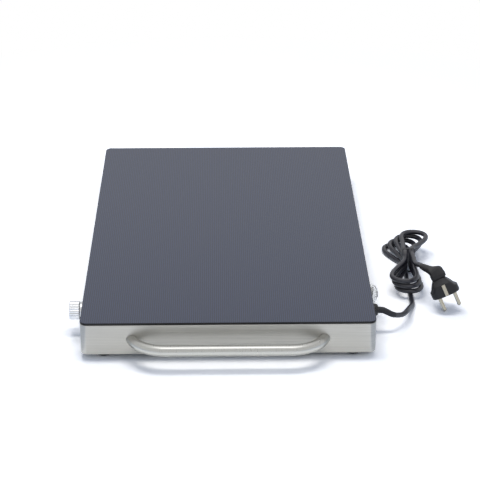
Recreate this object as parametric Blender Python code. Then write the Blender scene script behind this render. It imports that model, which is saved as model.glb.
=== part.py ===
"""Hot plate with a glass top in a stainless frame, two tube handles, a knob, a switch and a corded plug.

Metres, +Z up. The plate stands on z = 0 with its long side along Y; the front handle is at -Y.
"""
import math

import bmesh
import bpy
from mathutils import Matrix, Vector

# Clearance that touching pieces keep, and how far a cutter runs past what it cuts
JOINT_GAP = 0.0003
CUT_OVERRUN = 0.002

# Plate and frame
PLATE_WIDTH = 0.340
PLATE_DEPTH = 0.535
CORNER_RADIUS = 0.008
CORNER_STEPS = 7
GROUND_CLEARANCE = 0.0066
BAND_HEIGHT = 0.0377
SHEET = 0.0012
BEND_RADIUS = 0.0010
LIP_RADIUS = 0.0005
LEDGE_DROP = 0.0011
LEDGE_WIDTH = 0.012
FLANGE_WIDTH = 0.010
INNER_CORNER_RADIUS = 0.0015

# Glass and its seal
GLASS_THICKNESS = 0.0025
GLASS_TOP_ARRIS = 0.0006
GLASS_LOWER_ARRIS = 0.0004
SEAL_EDGE_INSET = 0.0022
SEAL_WIDTH = 0.009

# Heater stack under the glass
TRAY_CONTROL_GAP = 0.0055
TRAY_END_DISTANCE = 0.030
TRAY_SHEET = 0.0008
TRAY_CORNER_RADIUS = 0.006
MAT_THICKNESS = 0.0016
INSULATION_THICKNESS = 0.0085
STACK_SIDE_GAP = 0.0008
POST_RADIUS = 0.005
POST_EDGE_INSET = 0.030

# Base plate, its screws and the feet
BASE_SHEET = 0.001
BASE_SIDE_GAP = 0.0006
BASE_CORNER_RADIUS = 0.0065
VENT_LENGTH = 0.050
VENT_WIDTH = 0.004
VENT_PITCH = 0.012
VENTS_PER_GROUP = 4
VENT_GROUP_REACH = 0.120
FOOT_SIDE_INSET = 0.026
FOOT_END_INSET = 0.0195
FOOT_TOP_RADIUS = 0.0088
FOOT_SOLE_RADIUS = 0.0105
FOOT_SOLE_ROUNDING = 0.001
FOOT_RECESS_RADIUS = 0.0052
FOOT_RECESS_DEPTH = 0.005
M4_RADIUS = 0.002
M4_HOLE_RADIUS = 0.0024
M4_HEAD_RADIUS = 0.0038
M4_HEAD_HEIGHT = 0.0024
FOOT_SCREW_LENGTH = 0.0085
BASE_SCREW_LENGTH = 0.007
BASE_SCREW_INSET = 0.006
BASE_SCREW_REACH = 0.150

# Handles, bent from tube, on the two short sides
HANDLE_TUBE_RADIUS = 0.00635
HANDLE_SPAN = 0.221
HANDLE_REACH = 0.0267
HANDLE_BEND_RADIUS = 0.042
HANDLE_BEND_STEPS = 8
HANDLE_AXIS_HEIGHT = 0.0255
M5_RADIUS = 0.0025
M5_HOLE_RADIUS = 0.0029
M5_HEAD_RADIUS = 0.0045
M5_HEAD_HEIGHT = 0.003
HANDLE_SCREW_BITE = 0.0048
HANDLE_BORE_DEPTH = 0.006

# Height of everything that is fixed through the frame's side walls
SIDE_AXIS_HEIGHT = 0.0284

# Knob and thermostat, on the left side
KNOB_FRONT_DISTANCE = 0.0697
KNOB_RADIUS = 0.011
KNOB_LENGTH = 0.0119
KNOB_FLUTES = 20
KNOB_FLUTE_DEPTH = 0.0006
KNOB_EDGE_ROUNDING = 0.001
KNOB_BORE_DEPTH = 0.0090
COLLAR_RADIUS = 0.0103
COLLAR_LENGTH = 0.0042
COLLAR_BORE_RADIUS = 0.0088
COLLAR_ROUNDING = 0.0008
SHAFT_RADIUS = 0.003
SHAFT_RUNNING_GAP = 0.0003
SHAFT_BITE = 0.008
BUSH_RADIUS = 0.005
BUSH_REACH = 0.0034
THERMOSTAT_REACH = 0.032
THERMOSTAT_LENGTH = 0.036
THERMOSTAT_HEIGHT = 0.022
THERMOSTAT_EDGE = 0.0015
NUT_ACROSS_FLATS = 0.014
NUT_THICKNESS = 0.0022

# Sensing bulb, held to the heating mat by a clip, and its capillary
BULB_RADIUS = 0.003
BULB_LENGTH = 0.070
CAPILLARY_RADIUS = 0.0009
BULB_WALL_GAP = 0.006
BULB_GLASS_GAP = 0.001

# Switch and boot, on the right side
SWITCH_FRONT_DISTANCE = 0.107
SWITCH_BODY_LENGTH = 0.0190
SWITCH_BODY_HEIGHT = 0.0130
SWITCH_BODY_REACH = 0.014
BEZEL_LENGTH = 0.021
BEZEL_HEIGHT = 0.015
BEZEL_THICKNESS = 0.002
BEZEL_CORNER_RADIUS = 0.0015
BEZEL_CHAMFER = 0.0006
SWITCH_CORNER_RADIUS = 0.0004
SWITCH_WALL = 0.001
SWITCH_CAVITY_DEPTH = 0.0085
TAB_WIDTH = 0.0048
TAB_THICKNESS = 0.0008
TAB_LENGTH = 0.007
TAB_PITCH = 0.0065
ROCKER_SIDE_GAP = 0.0004
ROCKER_END_GAP = 0.0005
ROCKER_VALLEY_HEIGHT = 0.0034
ROCKER_SKIRT_DEPTH = 0.0012
ROCKER_HUB_HALF_WIDTH = 0.0030
ROCKER_HUB_DEPTH = 0.0035
ROCKER_PIVOT_HEIGHT = 0.001
ROCKER_TILT_DEGREES = 9.0
BOOT_WALL = 0.0008
BOOT_RIM_GAP = 0.0004
BOOT_HEIGHT = 0.0102
BOOT_DOME_SHARES = ((1.0, 0.0), (0.99, 0.32), (0.95, 0.58), (0.85, 0.79), (0.66, 0.93), (0.36, 1.0))
BOOT_CORNER_SHARE = 0.85

# Cord bushing, on the right side
GLAND_FRONT_DISTANCE = 0.065
GLAND_HEAD_RADIUS = 0.0077
GLAND_HEAD_LENGTH = 0.0072
GLAND_NOSE_RADIUS = 0.0050
GLAND_SHANK_RADIUS = 0.0055
GLAND_SHANK_LENGTH = 0.011
GLAND_NUT_THICKNESS = 0.004
GLAND_NUT_ACROSS_FLATS = 0.015

# Terminal block, earth screw, thermal cut-out and inner wires
BLOCK_LENGTH = 0.030
BLOCK_WIDTH = 0.018
BLOCK_HEIGHT = 0.012
BLOCK_SIDE_DISTANCE = 0.018
BLOCK_SWITCH_DISTANCE = 0.040
BLOCK_EDGE = 0.001
EARTH_SCREW_LENGTH = 0.003
EARTH_SCREW_FRONT_DISTANCE = 0.045
CUTOUT_RADIUS = 0.0075
CUTOUT_HEIGHT = 0.006
CUTOUT_SIDE_SHARE = 0.55
WIRE_RADIUS = 0.0010
HEATER_LEAD_RADIUS = 0.0006
SHEATH_END_DISTANCE = 0.016

# Mains cord and the pieces on it
CORD_RADIUS = 0.0031
RELIEF_LENGTH = 0.022
RELIEF_ROOT_RADIUS = 0.0040
RELIEF_TIP_RADIUS = 0.0034
CORD_POINT_SPACING = 0.0060
# Shares of the way from the cord bushing to the hank, along X, Y and down Z
LEAD_SHARES = (
    (0.062, 0.0, 0.0), (0.125, 0.0, 0.019), (0.187, -0.010, 0.064), (0.249, -0.012, 0.126),
    (0.295, -0.010, 0.182), (0.345, 0.004, 0.245), (0.417, 0.038, 0.332), (0.494, 0.088, 0.418),
    (0.574, 0.142, 0.488), (0.651, 0.213, 0.552), (0.722, 0.305, 0.604), (0.788, 0.425, 0.668),
    (0.866, 0.62, 0.82), (0.944, 0.79, 0.95), (0.992, 0.905, 0.998))

# Hank: four loops piled in four layers and drawn in at the waist
HANK_SIDE_DISTANCE = 0.0598
HANK_FRONT_DISTANCE = 0.224
HANK_HALF_LENGTH = 0.075
HANK_WAIST_HALF_WIDTH = 0.0038
HANK_LOBE_WIDTH = 0.0374
HANK_LAYER_PITCH = 0.0068
HANK_LOOPS = 3.5
HANK_POINTS_PER_LOOP = 24
HANK_ENTRY_LENGTH = 0.089
HANK_EXIT_TURN_DEGREES = 17.0
HANK_CLIMB_HALF_TURN_DEGREES = 40.0
HANK_FAR_FAN_FIRST = -0.012
HANK_FAR_FAN_LAST = 0.018
HANK_FAN_RUN_SHARE = 0.6
HANK_NEAR_FAN_FIRST = -0.006
HANK_NEAR_FAN_LAST = -0.014
HANK_LAST_HALF_LENGTH = 0.071
HANK_LIFT_REACH = 0.030
TIE_WIDTH = 0.004
TIE_THICKNESS = 0.0006
TIE_GAP = 0.0008
TIE_CORNER_RADIUS = 0.003

# Plug: a moulded body with two round pins and two earth clips
PLUG_SIDE_OFFSET = 0.0357
PLUG_FRONT_OFFSET = 0.1047
PLUG_AXIS = (0.400, -0.266, -0.877)
PLUG_PIN_LINE = (0.916, 0.078, 0.394)
PLUG_PIN_RADIUS = 0.0024
PLUG_PIN_LENGTH = 0.019
PLUG_PIN_PITCH = 0.019
PLUG_PIN_ROUNDING = 0.0012
PLUG_SOCKET_DEPTH = 0.004
PLUG_HALF_WIDTH = 0.0174
PLUG_HALF_DEPTH = 0.0150
PLUG_BODY_LENGTH = 0.030
# Share of the body's length, of its half width and half depth, lean to one side, squareness of the section
PLUG_SECTION_SHARES = (
    (0.0, 0.965, 0.95, -0.02, 2.6), (0.03, 1.0, 1.0, -0.02, 2.8), (0.26, 1.0, 1.0, -0.02, 3.0),
    (0.31, 0.86, 1.0, -0.04, 3.4), (0.42, 0.75, 1.0, -0.05, 3.4), (0.50, 0.67, 0.99, -0.06, 3.2),
    (0.58, 0.585, 0.84, -0.075, 2.8), (0.68, 0.495, 0.60, -0.085, 2.6), (0.79, 0.465, 0.50, -0.055, 2.4),
    (0.97, 0.55, 0.55, -0.035, 2.4), (1.0, 0.53, 0.52, -0.035, 2.4))
PLUG_POINTS = 28
PLUG_NECK_TIP_RADIUS = 0.0035
PLUG_NECK_TIP_OFFSET = (-0.0272, 0.0351, 0.0206)
PLUG_NECK_TIP_DIRECTION = (0.10, 0.95, -0.28)
PLUG_NECK_ROOT_HANDLE = 0.002
PLUG_NECK_TIP_HANDLE = 0.004
PLUG_NECK_STEPS = 7
CLIP_STRIP_LENGTH = 0.0142
CLIP_STRIP_WIDTH = 0.0042
CLIP_STRIP_THICKNESS = 0.0009
CLIP_STRIP_EDGE = 0.0002
CLIP_STRIP_FACE_DISTANCE = 0.0006

# Heights that follow from the sizes above
BAND_TOP = GROUND_CLEARANCE + BAND_HEIGHT
GLASS_UNDERSIDE = BAND_TOP + JOINT_GAP
GLASS_TOP = GLASS_UNDERSIDE + GLASS_THICKNESS
LEDGE_TOP = BAND_TOP - LEDGE_DROP + JOINT_GAP
BASE_UNDERSIDE = GROUND_CLEARANCE + SHEET + JOINT_GAP
BASE_TOP = BASE_UNDERSIDE + BASE_SHEET
MAT_TOP = GLASS_UNDERSIDE - JOINT_GAP
MAT_UNDERSIDE = MAT_TOP - MAT_THICKNESS
INSULATION_TOP = MAT_UNDERSIDE - JOINT_GAP
INSULATION_UNDERSIDE = INSULATION_TOP - INSULATION_THICKNESS
TRAY_FLOOR_TOP = INSULATION_UNDERSIDE - JOINT_GAP
TRAY_UNDERSIDE = TRAY_FLOOR_TOP - TRAY_SHEET

HALF_WIDTH = PLATE_WIDTH / 2
HALF_DEPTH = PLATE_DEPTH / 2

# The tray keeps clear of the thermostat behind the side wall, and of the two ends
TRAY_WIDTH = PLATE_WIDTH - 2 * (SHEET + JOINT_GAP + THERMOSTAT_REACH + TRAY_CONTROL_GAP)
TRAY_DEPTH = PLATE_DEPTH - 2 * TRAY_END_DISTANCE

# The origin lies under the middle of the whole width, which the knob and the boot set
KNOB_REACH = COLLAR_LENGTH + 2 * JOINT_GAP + KNOB_LENGTH
SIDE_SHIFT = (KNOB_REACH - BOOT_HEIGHT - JOINT_GAP) / 2

KNOB_Y = -HALF_DEPTH + KNOB_FRONT_DISTANCE
SWITCH_Y = -HALF_DEPTH + SWITCH_FRONT_DISTANCE
GLAND_Y = -HALF_DEPTH + GLAND_FRONT_DISTANCE
BLOCK_X = HALF_WIDTH - SHEET - BLOCK_SIDE_DISTANCE
BLOCK_Y = SWITCH_Y + BLOCK_SWITCH_DISTANCE
EARTH_SCREW_Y = -HALF_DEPTH + EARTH_SCREW_FRONT_DISTANCE
HANK_X = HALF_WIDTH + HANK_SIDE_DISTANCE
HANK_Y = -HALF_DEPTH + HANK_FRONT_DISTANCE
CORD_REST_HEIGHT = CORD_RADIUS + JOINT_GAP

# Finishes: colour, roughness, metallic
BRUSHED_STEEL = ((0.47, 0.47, 0.46), 0.34, 1.0)
PLAIN_STEEL = ((0.40, 0.40, 0.40), 0.45, 1.0)
SATIN_TUBE = ((0.60, 0.60, 0.59), 0.25, 1.0)
BRIGHT_METAL = ((0.72, 0.74, 0.76), 0.18, 1.0)
NICKEL = ((0.62, 0.59, 0.50), 0.25, 1.0)
BRASS = ((0.62, 0.46, 0.19), 0.30, 1.0)
COPPER = ((0.55, 0.26, 0.15), 0.30, 1.0)
DARK_GLASS = ((0.095, 0.105, 0.135), 0.12, 0.0)
CLEAR_VINYL = ((0.80, 0.84, 0.84), 0.12, 0.0)
BLACK_PLASTIC = ((0.018, 0.018, 0.020), 0.40, 0.0)
BLACK_RUBBER = ((0.022, 0.022, 0.026), 0.55, 0.0)
CORD_VINYL = ((0.030, 0.030, 0.036), 0.45, 0.0)
SILICONE_GREY = ((0.10, 0.10, 0.11), 0.60, 0.0)
MAT_RED = ((0.33, 0.07, 0.03), 0.60, 0.0)
FIBRE_WHITE = ((0.74, 0.72, 0.66), 0.90, 0.0)
BLOCK_WHITE = ((0.78, 0.77, 0.72), 0.45, 0.0)
WIRE_BROWN = ((0.14, 0.05, 0.02), 0.50, 0.0)
WIRE_BLUE = ((0.03, 0.10, 0.42), 0.50, 0.0)
WIRE_GREEN = ((0.10, 0.32, 0.05), 0.50, 0.0)

SMOOTH_ANGLE = math.radians(35)
MERGE_DISTANCE = 0.000001


def clear_scene():
    for old in list(bpy.data.objects):
        bpy.data.objects.remove(old, do_unlink=True)


def paint(piece, finish):
    """Give a piece a material of its own."""
    colour, roughness, metallic = finish
    material = bpy.data.materials.new(piece.name + "_finish")
    material.use_nodes = True
    shader = material.node_tree.nodes["Principled BSDF"]
    shader.inputs["Base Color"].default_value = (*colour, 1.0)
    shader.inputs["Roughness"].default_value = roughness
    shader.inputs["Metallic"].default_value = metallic
    piece.data.materials.append(material)


def add_piece(name, bm, finish, parent, location=(0, 0, 0), turn=None):
    """Store a bmesh as a named piece under its parent."""
    bmesh.ops.remove_doubles(bm, verts=bm.verts, dist=MERGE_DISTANCE)
    bmesh.ops.recalc_face_normals(bm, faces=bm.faces)
    mesh = bpy.data.meshes.new(name)
    bm.to_mesh(mesh)
    bm.free()
    mesh.shade_smooth()
    mesh.set_sharp_from_angle(angle=SMOOTH_ANGLE)
    piece = bpy.data.objects.new(name, mesh)
    bpy.context.scene.collection.objects.link(piece)
    piece.parent = parent
    piece.location = location
    if turn is not None:
        piece.rotation_mode = "QUATERNION"
        piece.rotation_quaternion = turn
    paint(piece, finish)
    return piece


def cut(piece, name, bm, parent, location=(0, 0, 0)):
    """Cut a shape out of a piece with a hidden cutter."""
    bmesh.ops.recalc_face_normals(bm, faces=bm.faces)
    mesh = bpy.data.meshes.new(name)
    bm.to_mesh(mesh)
    bm.free()
    cutter = bpy.data.objects.new(name, mesh)
    bpy.context.scene.collection.objects.link(cutter)
    cutter.parent = parent
    cutter.location = location
    cutter.hide_render = True
    cutter.display_type = "WIRE"
    boolean = piece.modifiers.new("Cut", "BOOLEAN")
    boolean.operation = "DIFFERENCE"
    boolean.solver = "EXACT"
    boolean.object = cutter


def rounded_outline(half_x, half_y, radius):
    """Corner points of a rounded rectangle, counterclockwise from its lower left."""
    points = []
    corners = ((-1, -1, 180), (1, -1, 270), (1, 1, 0), (-1, 1, 90))
    for sign_x, sign_y, start in corners:
        centre_x = sign_x * (half_x - radius)
        centre_y = sign_y * (half_y - radius)
        for step in range(CORNER_STEPS + 1):
            angle = math.radians(start + 90 * step / CORNER_STEPS)
            points.append((centre_x + radius * math.cos(angle), centre_y + radius * math.sin(angle)))
    return points


def add_loop(bm, points):
    """A closed loop of edges through the points."""
    verts = [bm.verts.new(point) for point in points]
    count = len(verts)
    return verts, [bm.edges.new((verts[i], verts[(i + 1) % count])) for i in range(count)]


def skin(bm, loops, close=False):
    """Join loops of points one after another; cap the ends, or join the last to the first."""
    made = [add_loop(bm, points) for points in loops]
    pairs = list(zip(made, made[1:]))
    if close:
        pairs.append((made[-1], made[0]))
    for (first_verts, _), (second_verts, _) in pairs:
        count = len(first_verts)
        for i in range(count):
            j = (i + 1) % count
            bm.faces.new((first_verts[i], first_verts[j], second_verts[j], second_verts[i]))
    if not close:
        bm.faces.new(made[0][0])
        bm.faces.new(made[-1][0])
    return bm


def ring_loop(half_x, half_y, radius, inset, height):
    """A rounded rectangle drawn in by inset, at a height."""
    inner_radius = max(radius - inset, min(INNER_CORNER_RADIUS, radius))
    return [(x, y, height) for x, y in rounded_outline(half_x - inset, half_y - inset, inner_radius)]


def framed(half_x, half_y, radius, profile):
    """Sweep a closed profile of (inset, height) points round a rounded rectangle."""
    loops = [ring_loop(half_x, half_y, radius, inset, height) for inset, height in profile]
    return skin(bmesh.new(), loops, close=True)


def slab(half_x, half_y, radius, profile):
    """A solid plate whose edge follows the (inset, height) points."""
    loops = [ring_loop(half_x, half_y, radius, inset, height) for inset, height in profile]
    return skin(bmesh.new(), loops)


def box(size, edge=0.0, centre=(0, 0, 0), bm=None):
    """A box, with its edges bevelled by edge."""
    bm = bmesh.new() if bm is None else bm
    made = bmesh.ops.create_cube(bm, size=1.0)
    verts = made["verts"]
    bmesh.ops.scale(bm, vec=size, verts=verts)
    bmesh.ops.translate(bm, vec=centre, verts=verts)
    if edge:
        edges = list({e for v in verts for e in v.link_edges})
        bmesh.ops.bevel(bm, geom=edges, offset=edge, segments=1, profile=0.5, affect="EDGES", material=-1)
    return bm


def rod(radius, low, high, sides=24, place=None, bm=None, top_radius=None):
    """A round bar along Z from low to high, then placed by a matrix."""
    bm = bmesh.new() if bm is None else bm
    made = bmesh.ops.create_cone(
        bm, cap_ends=True, segments=sides, radius1=radius,
        radius2=radius if top_radius is None else top_radius, depth=high - low)
    bmesh.ops.translate(bm, vec=(0, 0, (high + low) / 2), verts=made["verts"])
    if place is not None:
        bmesh.ops.transform(bm, matrix=place, verts=made["verts"])
    return bm


def turned(profile, steps=24):
    """Turn (radius, height) points about Z; a profile that starts and ends on the axis closes there."""
    bm = bmesh.new()
    closed_on_axis = profile[0][0] == 0
    verts = [bm.verts.new((radius, 0, height)) for radius, height in profile]
    edges = [bm.edges.new(pair) for pair in zip(verts, verts[1:])]
    if not closed_on_axis:
        edges.append(bm.edges.new((verts[-1], verts[0])))
    bmesh.ops.spin(bm, geom=verts + edges, cent=(0, 0, 0), axis=(0, 0, 1), angle=2 * math.pi,
                   steps=steps, use_merge=True, use_duplicate=False)
    bmesh.ops.remove_doubles(bm, verts=bm.verts, dist=MERGE_DISTANCE)
    bmesh.ops.dissolve_degenerate(bm, dist=MERGE_DISTANCE, edges=bm.edges)
    return bm


def facing(direction, up=(0, 0, 1)):
    """The turn that points Z along a direction and X as near to up as it can."""
    z_axis = Vector(direction).normalized()
    x_axis = Vector(up) - Vector(up).dot(z_axis) * z_axis
    if x_axis.length < MERGE_DISTANCE:
        x_axis = Vector((1, 0, 0))
    x_axis.normalize()
    y_axis = z_axis.cross(x_axis)
    return Matrix((x_axis, y_axis, z_axis)).transposed()


def smooth_route(points, spacing):
    """Evenly spaced points on a smooth curve through the given points."""
    points = [Vector(point) for point in points]
    padded = [2 * points[0] - points[1]] + points + [2 * points[-1] - points[-2]]
    fine = []
    samples = 24
    for i in range(1, len(padded) - 2):
        before, start, end, after = padded[i - 1:i + 3]
        for step in range(samples):
            t = step / samples
            fine.append(0.5 * (2 * start + (end - before) * t
                               + (2 * before - 5 * start + 4 * end - after) * t * t
                               + (3 * start - before - 3 * end + after) * t * t * t))
    fine.append(points[-1])
    total = sum((b - a).length for a, b in zip(fine, fine[1:]))
    count = max(2, round(total / spacing))
    route = [fine[0]]
    walked = 0.0
    for a, b in zip(fine, fine[1:]):
        step_length = (b - a).length
        while len(route) < count and walked + step_length >= total * len(route) / count:
            share = (total * len(route) / count - walked) / step_length
            route.append(a.lerp(b, share))
        walked += step_length
    route.append(fine[-1])
    return route


def add_tube(name, points, radius, finish, parent, resolution=2, radii=None):
    """A round tube along the points, as a bevelled curve with filled caps."""
    curve = bpy.data.curves.new(name, "CURVE")
    curve.dimensions = "3D"
    curve.render_resolution_u = 0
    curve.bevel_depth = radius
    curve.bevel_resolution = resolution
    curve.use_fill_caps = True
    spline = curve.splines.new("POLY")
    spline.points.add(len(points) - 1)
    spline.use_smooth = True
    for index, point in enumerate(points):
        spline.points[index].co = (*point, 1.0)
        spline.points[index].radius = 1.0 if radii is None else radii[index] / radius
    piece = bpy.data.objects.new(name, curve)
    bpy.context.scene.collection.objects.link(piece)
    piece.parent = parent
    paint(piece, finish)
    return piece


def as_mesh_piece(piece):
    """Turn a curve piece into a mesh piece of the same name, so that it can be cut."""
    bpy.context.view_layer.update()
    evaluated = piece.evaluated_get(bpy.context.evaluated_depsgraph_get())
    mesh = bpy.data.meshes.new_from_object(evaluated)
    name, parent, curve = piece.name, piece.parent, piece.data
    bpy.data.objects.remove(piece, do_unlink=True)
    bpy.data.curves.remove(curve)
    mesh.name = name
    mesh.shade_smooth()
    mesh.set_sharp_from_angle(angle=SMOOTH_ANGLE)
    made = bpy.data.objects.new(name, mesh)
    bpy.context.scene.collection.objects.link(made)
    made.parent = parent
    return made


def add_screw(name, head_radius, head_height, radius, length, finish, parent, location, direction):
    """A round-headed screw whose head's underside is at its location, pointing along direction."""
    crown_share = 0.7
    drive_radius = head_radius / 3
    profile = [
        (0, -head_height / 2), (drive_radius, -head_height), (crown_share * head_radius, -head_height),
        (head_radius, -head_height / 2), (head_radius, 0), (radius, 0),
        (radius, length - radius / 2), (radius / 2, length), (0, length)]
    turn = facing(direction).to_quaternion()
    return add_piece(name, turned(profile, 12), finish, parent, location, turn)


def hex_ring(across_flats, bore_radius, thickness):
    """A hexagon nut with a round bore, standing on z = 0."""
    corners = 6
    per_side = 4
    outer = []
    inner = []
    half = across_flats / 2
    for step in range(corners * per_side):
        angle = 2 * math.pi * step / (corners * per_side)
        off_flat = (angle + math.pi / corners) % (2 * math.pi / corners) - math.pi / corners
        reach = half / math.cos(off_flat)
        outer.append((reach * math.cos(angle), reach * math.sin(angle)))
        inner.append((bore_radius * math.cos(angle), bore_radius * math.sin(angle)))
    loops = [[(x, y, 0) for x, y in outer], [(x, y, thickness) for x, y in outer],
             [(x, y, thickness) for x, y in inner], [(x, y, 0) for x, y in inner]]
    return skin(bmesh.new(), loops, close=True)


def build_glass(root):
    profile = [(GLASS_LOWER_ARRIS, GLASS_UNDERSIDE), (0, GLASS_UNDERSIDE + GLASS_LOWER_ARRIS),
               (0, GLASS_TOP - GLASS_TOP_ARRIS), (GLASS_TOP_ARRIS, GLASS_TOP)]
    add_piece("glass_top", slab(HALF_WIDTH, HALF_DEPTH, CORNER_RADIUS, profile), DARK_GLASS, root)
    low = LEDGE_TOP + JOINT_GAP
    high = GLASS_UNDERSIDE - JOINT_GAP
    inner = SEAL_EDGE_INSET + SEAL_WIDTH
    profile = [(SEAL_EDGE_INSET, low), (SEAL_EDGE_INSET, high), (inner, high), (inner, low)]
    add_piece("glass_seal", framed(HALF_WIDTH, HALF_DEPTH, CORNER_RADIUS, profile), SILICONE_GREY, root)


def side_hole(bm, radius, side, y):
    """A round cutter through the left (-1) or right (1) wall."""
    place = Matrix.Translation((side * HALF_WIDTH, y, SIDE_AXIS_HEIGHT)) @ facing((side, 0, 0)).to_4x4()
    reach = SHEET + CUT_OVERRUN
    rod(radius, -reach, reach, 24, place, bm)


def handle_places():
    """Name, end (-1 front, 1 rear) and side of each handle foot."""
    for end_name, end in (("front", -1), ("rear", 1)):
        for side_name, side in (("left", -1), ("right", 1)):
            yield end_name + "_" + side_name, end, side


def corner_places(inset_x, inset_y):
    """Name and place of a point near each corner of the plate."""
    for name, end, side in handle_places():
        yield name, side * (HALF_WIDTH - inset_x), end * (HALF_DEPTH - inset_y)


def base_screw_places():
    """The screws lie on the two long flanges."""
    for name, end, side in handle_places():
        yield name, side * (HALF_WIDTH - BASE_SCREW_INSET), end * BASE_SCREW_REACH


def build_frame(root):
    ledge_underside = LEDGE_TOP - SHEET
    profile = [
        (BEND_RADIUS, GROUND_CLEARANCE), (BEND_RADIUS * 0.3, GROUND_CLEARANCE + BEND_RADIUS * 0.3),
        (0, GROUND_CLEARANCE + BEND_RADIUS), (0, BAND_TOP - LIP_RADIUS), (LIP_RADIUS, BAND_TOP),
        (SHEET, BAND_TOP), (SHEET, LEDGE_TOP), (LEDGE_WIDTH, LEDGE_TOP),
        (LEDGE_WIDTH, ledge_underside), (SHEET, ledge_underside), (SHEET, GROUND_CLEARANCE + SHEET),
        (FLANGE_WIDTH, GROUND_CLEARANCE + SHEET), (FLANGE_WIDTH, GROUND_CLEARANCE)]
    bm = framed(HALF_WIDTH, HALF_DEPTH, CORNER_RADIUS, profile)
    frame = add_piece("outer_frame", bm, BRUSHED_STEEL, root)
    holes = bmesh.new()
    side_hole(holes, BUSH_RADIUS + JOINT_GAP, -1, KNOB_Y)
    side_hole(holes, GLAND_SHANK_RADIUS + JOINT_GAP, 1, GLAND_Y)
    box((2 * (SHEET + CUT_OVERRUN), SWITCH_BODY_LENGTH + 2 * JOINT_GAP, SWITCH_BODY_HEIGHT + 2 * JOINT_GAP),
        0.0, (HALF_WIDTH, SWITCH_Y, SIDE_AXIS_HEIGHT), holes)
    for _, end, side in handle_places():
        at = (side * HANDLE_SPAN / 2, end * HALF_DEPTH, HANDLE_AXIS_HEIGHT)
        place = Matrix.Translation(at) @ facing((0, end, 0)).to_4x4()
        rod(M5_HOLE_RADIUS, -SHEET - CUT_OVERRUN, SHEET + CUT_OVERRUN, 16, place, holes)
    for _, x, y in base_screw_places():
        place = Matrix.Translation((x, y, GROUND_CLEARANCE))
        rod(M4_HOLE_RADIUS, -CUT_OVERRUN, SHEET + CUT_OVERRUN, 16, place, holes)
    cut(frame, "frame_holes", holes, root)


def build_base(root):
    inset = SHEET + BASE_SIDE_GAP
    profile = [(inset, BASE_UNDERSIDE), (inset, BASE_TOP)]
    base = add_piece("base_plate", slab(HALF_WIDTH, HALF_DEPTH, BASE_CORNER_RADIUS + inset, profile),
                     PLAIN_STEEL, root)
    holes = bmesh.new()
    places = [(x, y) for _, x, y in base_screw_places()]
    places += [(x, y) for _, x, y in corner_places(FOOT_SIDE_INSET, FOOT_END_INSET)]
    for x, y in places:
        rod(M4_HOLE_RADIUS, BASE_UNDERSIDE - CUT_OVERRUN, BASE_TOP + CUT_OVERRUN, 16,
            Matrix.Translation((x, y, 0)), holes)
    rod(M4_HOLE_RADIUS, BASE_UNDERSIDE - CUT_OVERRUN, BASE_TOP + CUT_OVERRUN, 16,
        Matrix.Translation((BLOCK_X, EARTH_SCREW_Y, 0)), holes)
    for group in (-1, 1):
        for index in range(VENTS_PER_GROUP):
            y = group * VENT_GROUP_REACH + (index - (VENTS_PER_GROUP - 1) / 2) * VENT_PITCH
            box((VENT_LENGTH, VENT_WIDTH, BASE_SHEET + 2 * CUT_OVERRUN), 0.0,
                (0, y, (BASE_UNDERSIDE + BASE_TOP) / 2), holes)
    cut(base, "base_holes", holes, root)
    for name, x, y in base_screw_places():
        add_screw("base_screw_" + name, M4_HEAD_RADIUS, M4_HEAD_HEIGHT, M4_RADIUS, BASE_SCREW_LENGTH,
                  PLAIN_STEEL, root, (x, y, GROUND_CLEARANCE - JOINT_GAP), (0, 0, 1))


def build_feet(root):
    height = BASE_UNDERSIDE - JOINT_GAP
    seat = FOOT_RECESS_DEPTH
    profile = [
        (FOOT_RECESS_RADIUS, 0), (FOOT_SOLE_RADIUS - FOOT_SOLE_ROUNDING, 0),
        (FOOT_SOLE_RADIUS, FOOT_SOLE_ROUNDING), (FOOT_TOP_RADIUS, height), (M4_HOLE_RADIUS, height),
        (M4_HOLE_RADIUS, seat), (FOOT_RECESS_RADIUS, seat)]
    for name, x, y in corner_places(FOOT_SIDE_INSET, FOOT_END_INSET):
        add_piece("foot_" + name, turned(profile, 20), BLACK_RUBBER, root, (x, y, 0))
        add_screw("foot_screw_" + name, M4_HEAD_RADIUS, M4_HEAD_HEIGHT, M4_RADIUS, FOOT_SCREW_LENGTH,
                  PLAIN_STEEL, root, (x, y, seat - JOINT_GAP), (0, 0, 1))


def handle_route(end):
    """Centre line of a handle: one wide bend out of the wall, a straight run, and the same back."""
    half = HANDLE_SPAN / 2
    bend = HANDLE_BEND_RADIUS
    crown = HALF_DEPTH + HANDLE_REACH
    angle = math.acos(1 - min(HANDLE_REACH, bend) / bend)
    half_run = half - bend * math.sin(angle)
    root = HALF_DEPTH + JOINT_GAP
    start = Vector((-half_run - bend * math.sin(angle), crown - bend + bend * math.cos(angle), 0))
    inwards = Vector((-math.cos(angle), -math.sin(angle), 0))
    past_wall = (start.y - root + HANDLE_TUBE_RADIUS) / math.sin(angle)
    left = [start + inwards * past_wall]
    for step in range(HANDLE_BEND_STEPS + 1):
        at = angle * (1 - step / HANDLE_BEND_STEPS)
        left.append(Vector((-half_run - bend * math.sin(at), crown - bend + bend * math.cos(at), 0)))
    points = left + [Vector((-point.x, point.y, 0)) for point in reversed(left)]
    return [Vector((point.x, end * point.y, HANDLE_AXIS_HEIGHT)) for point in points]


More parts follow.
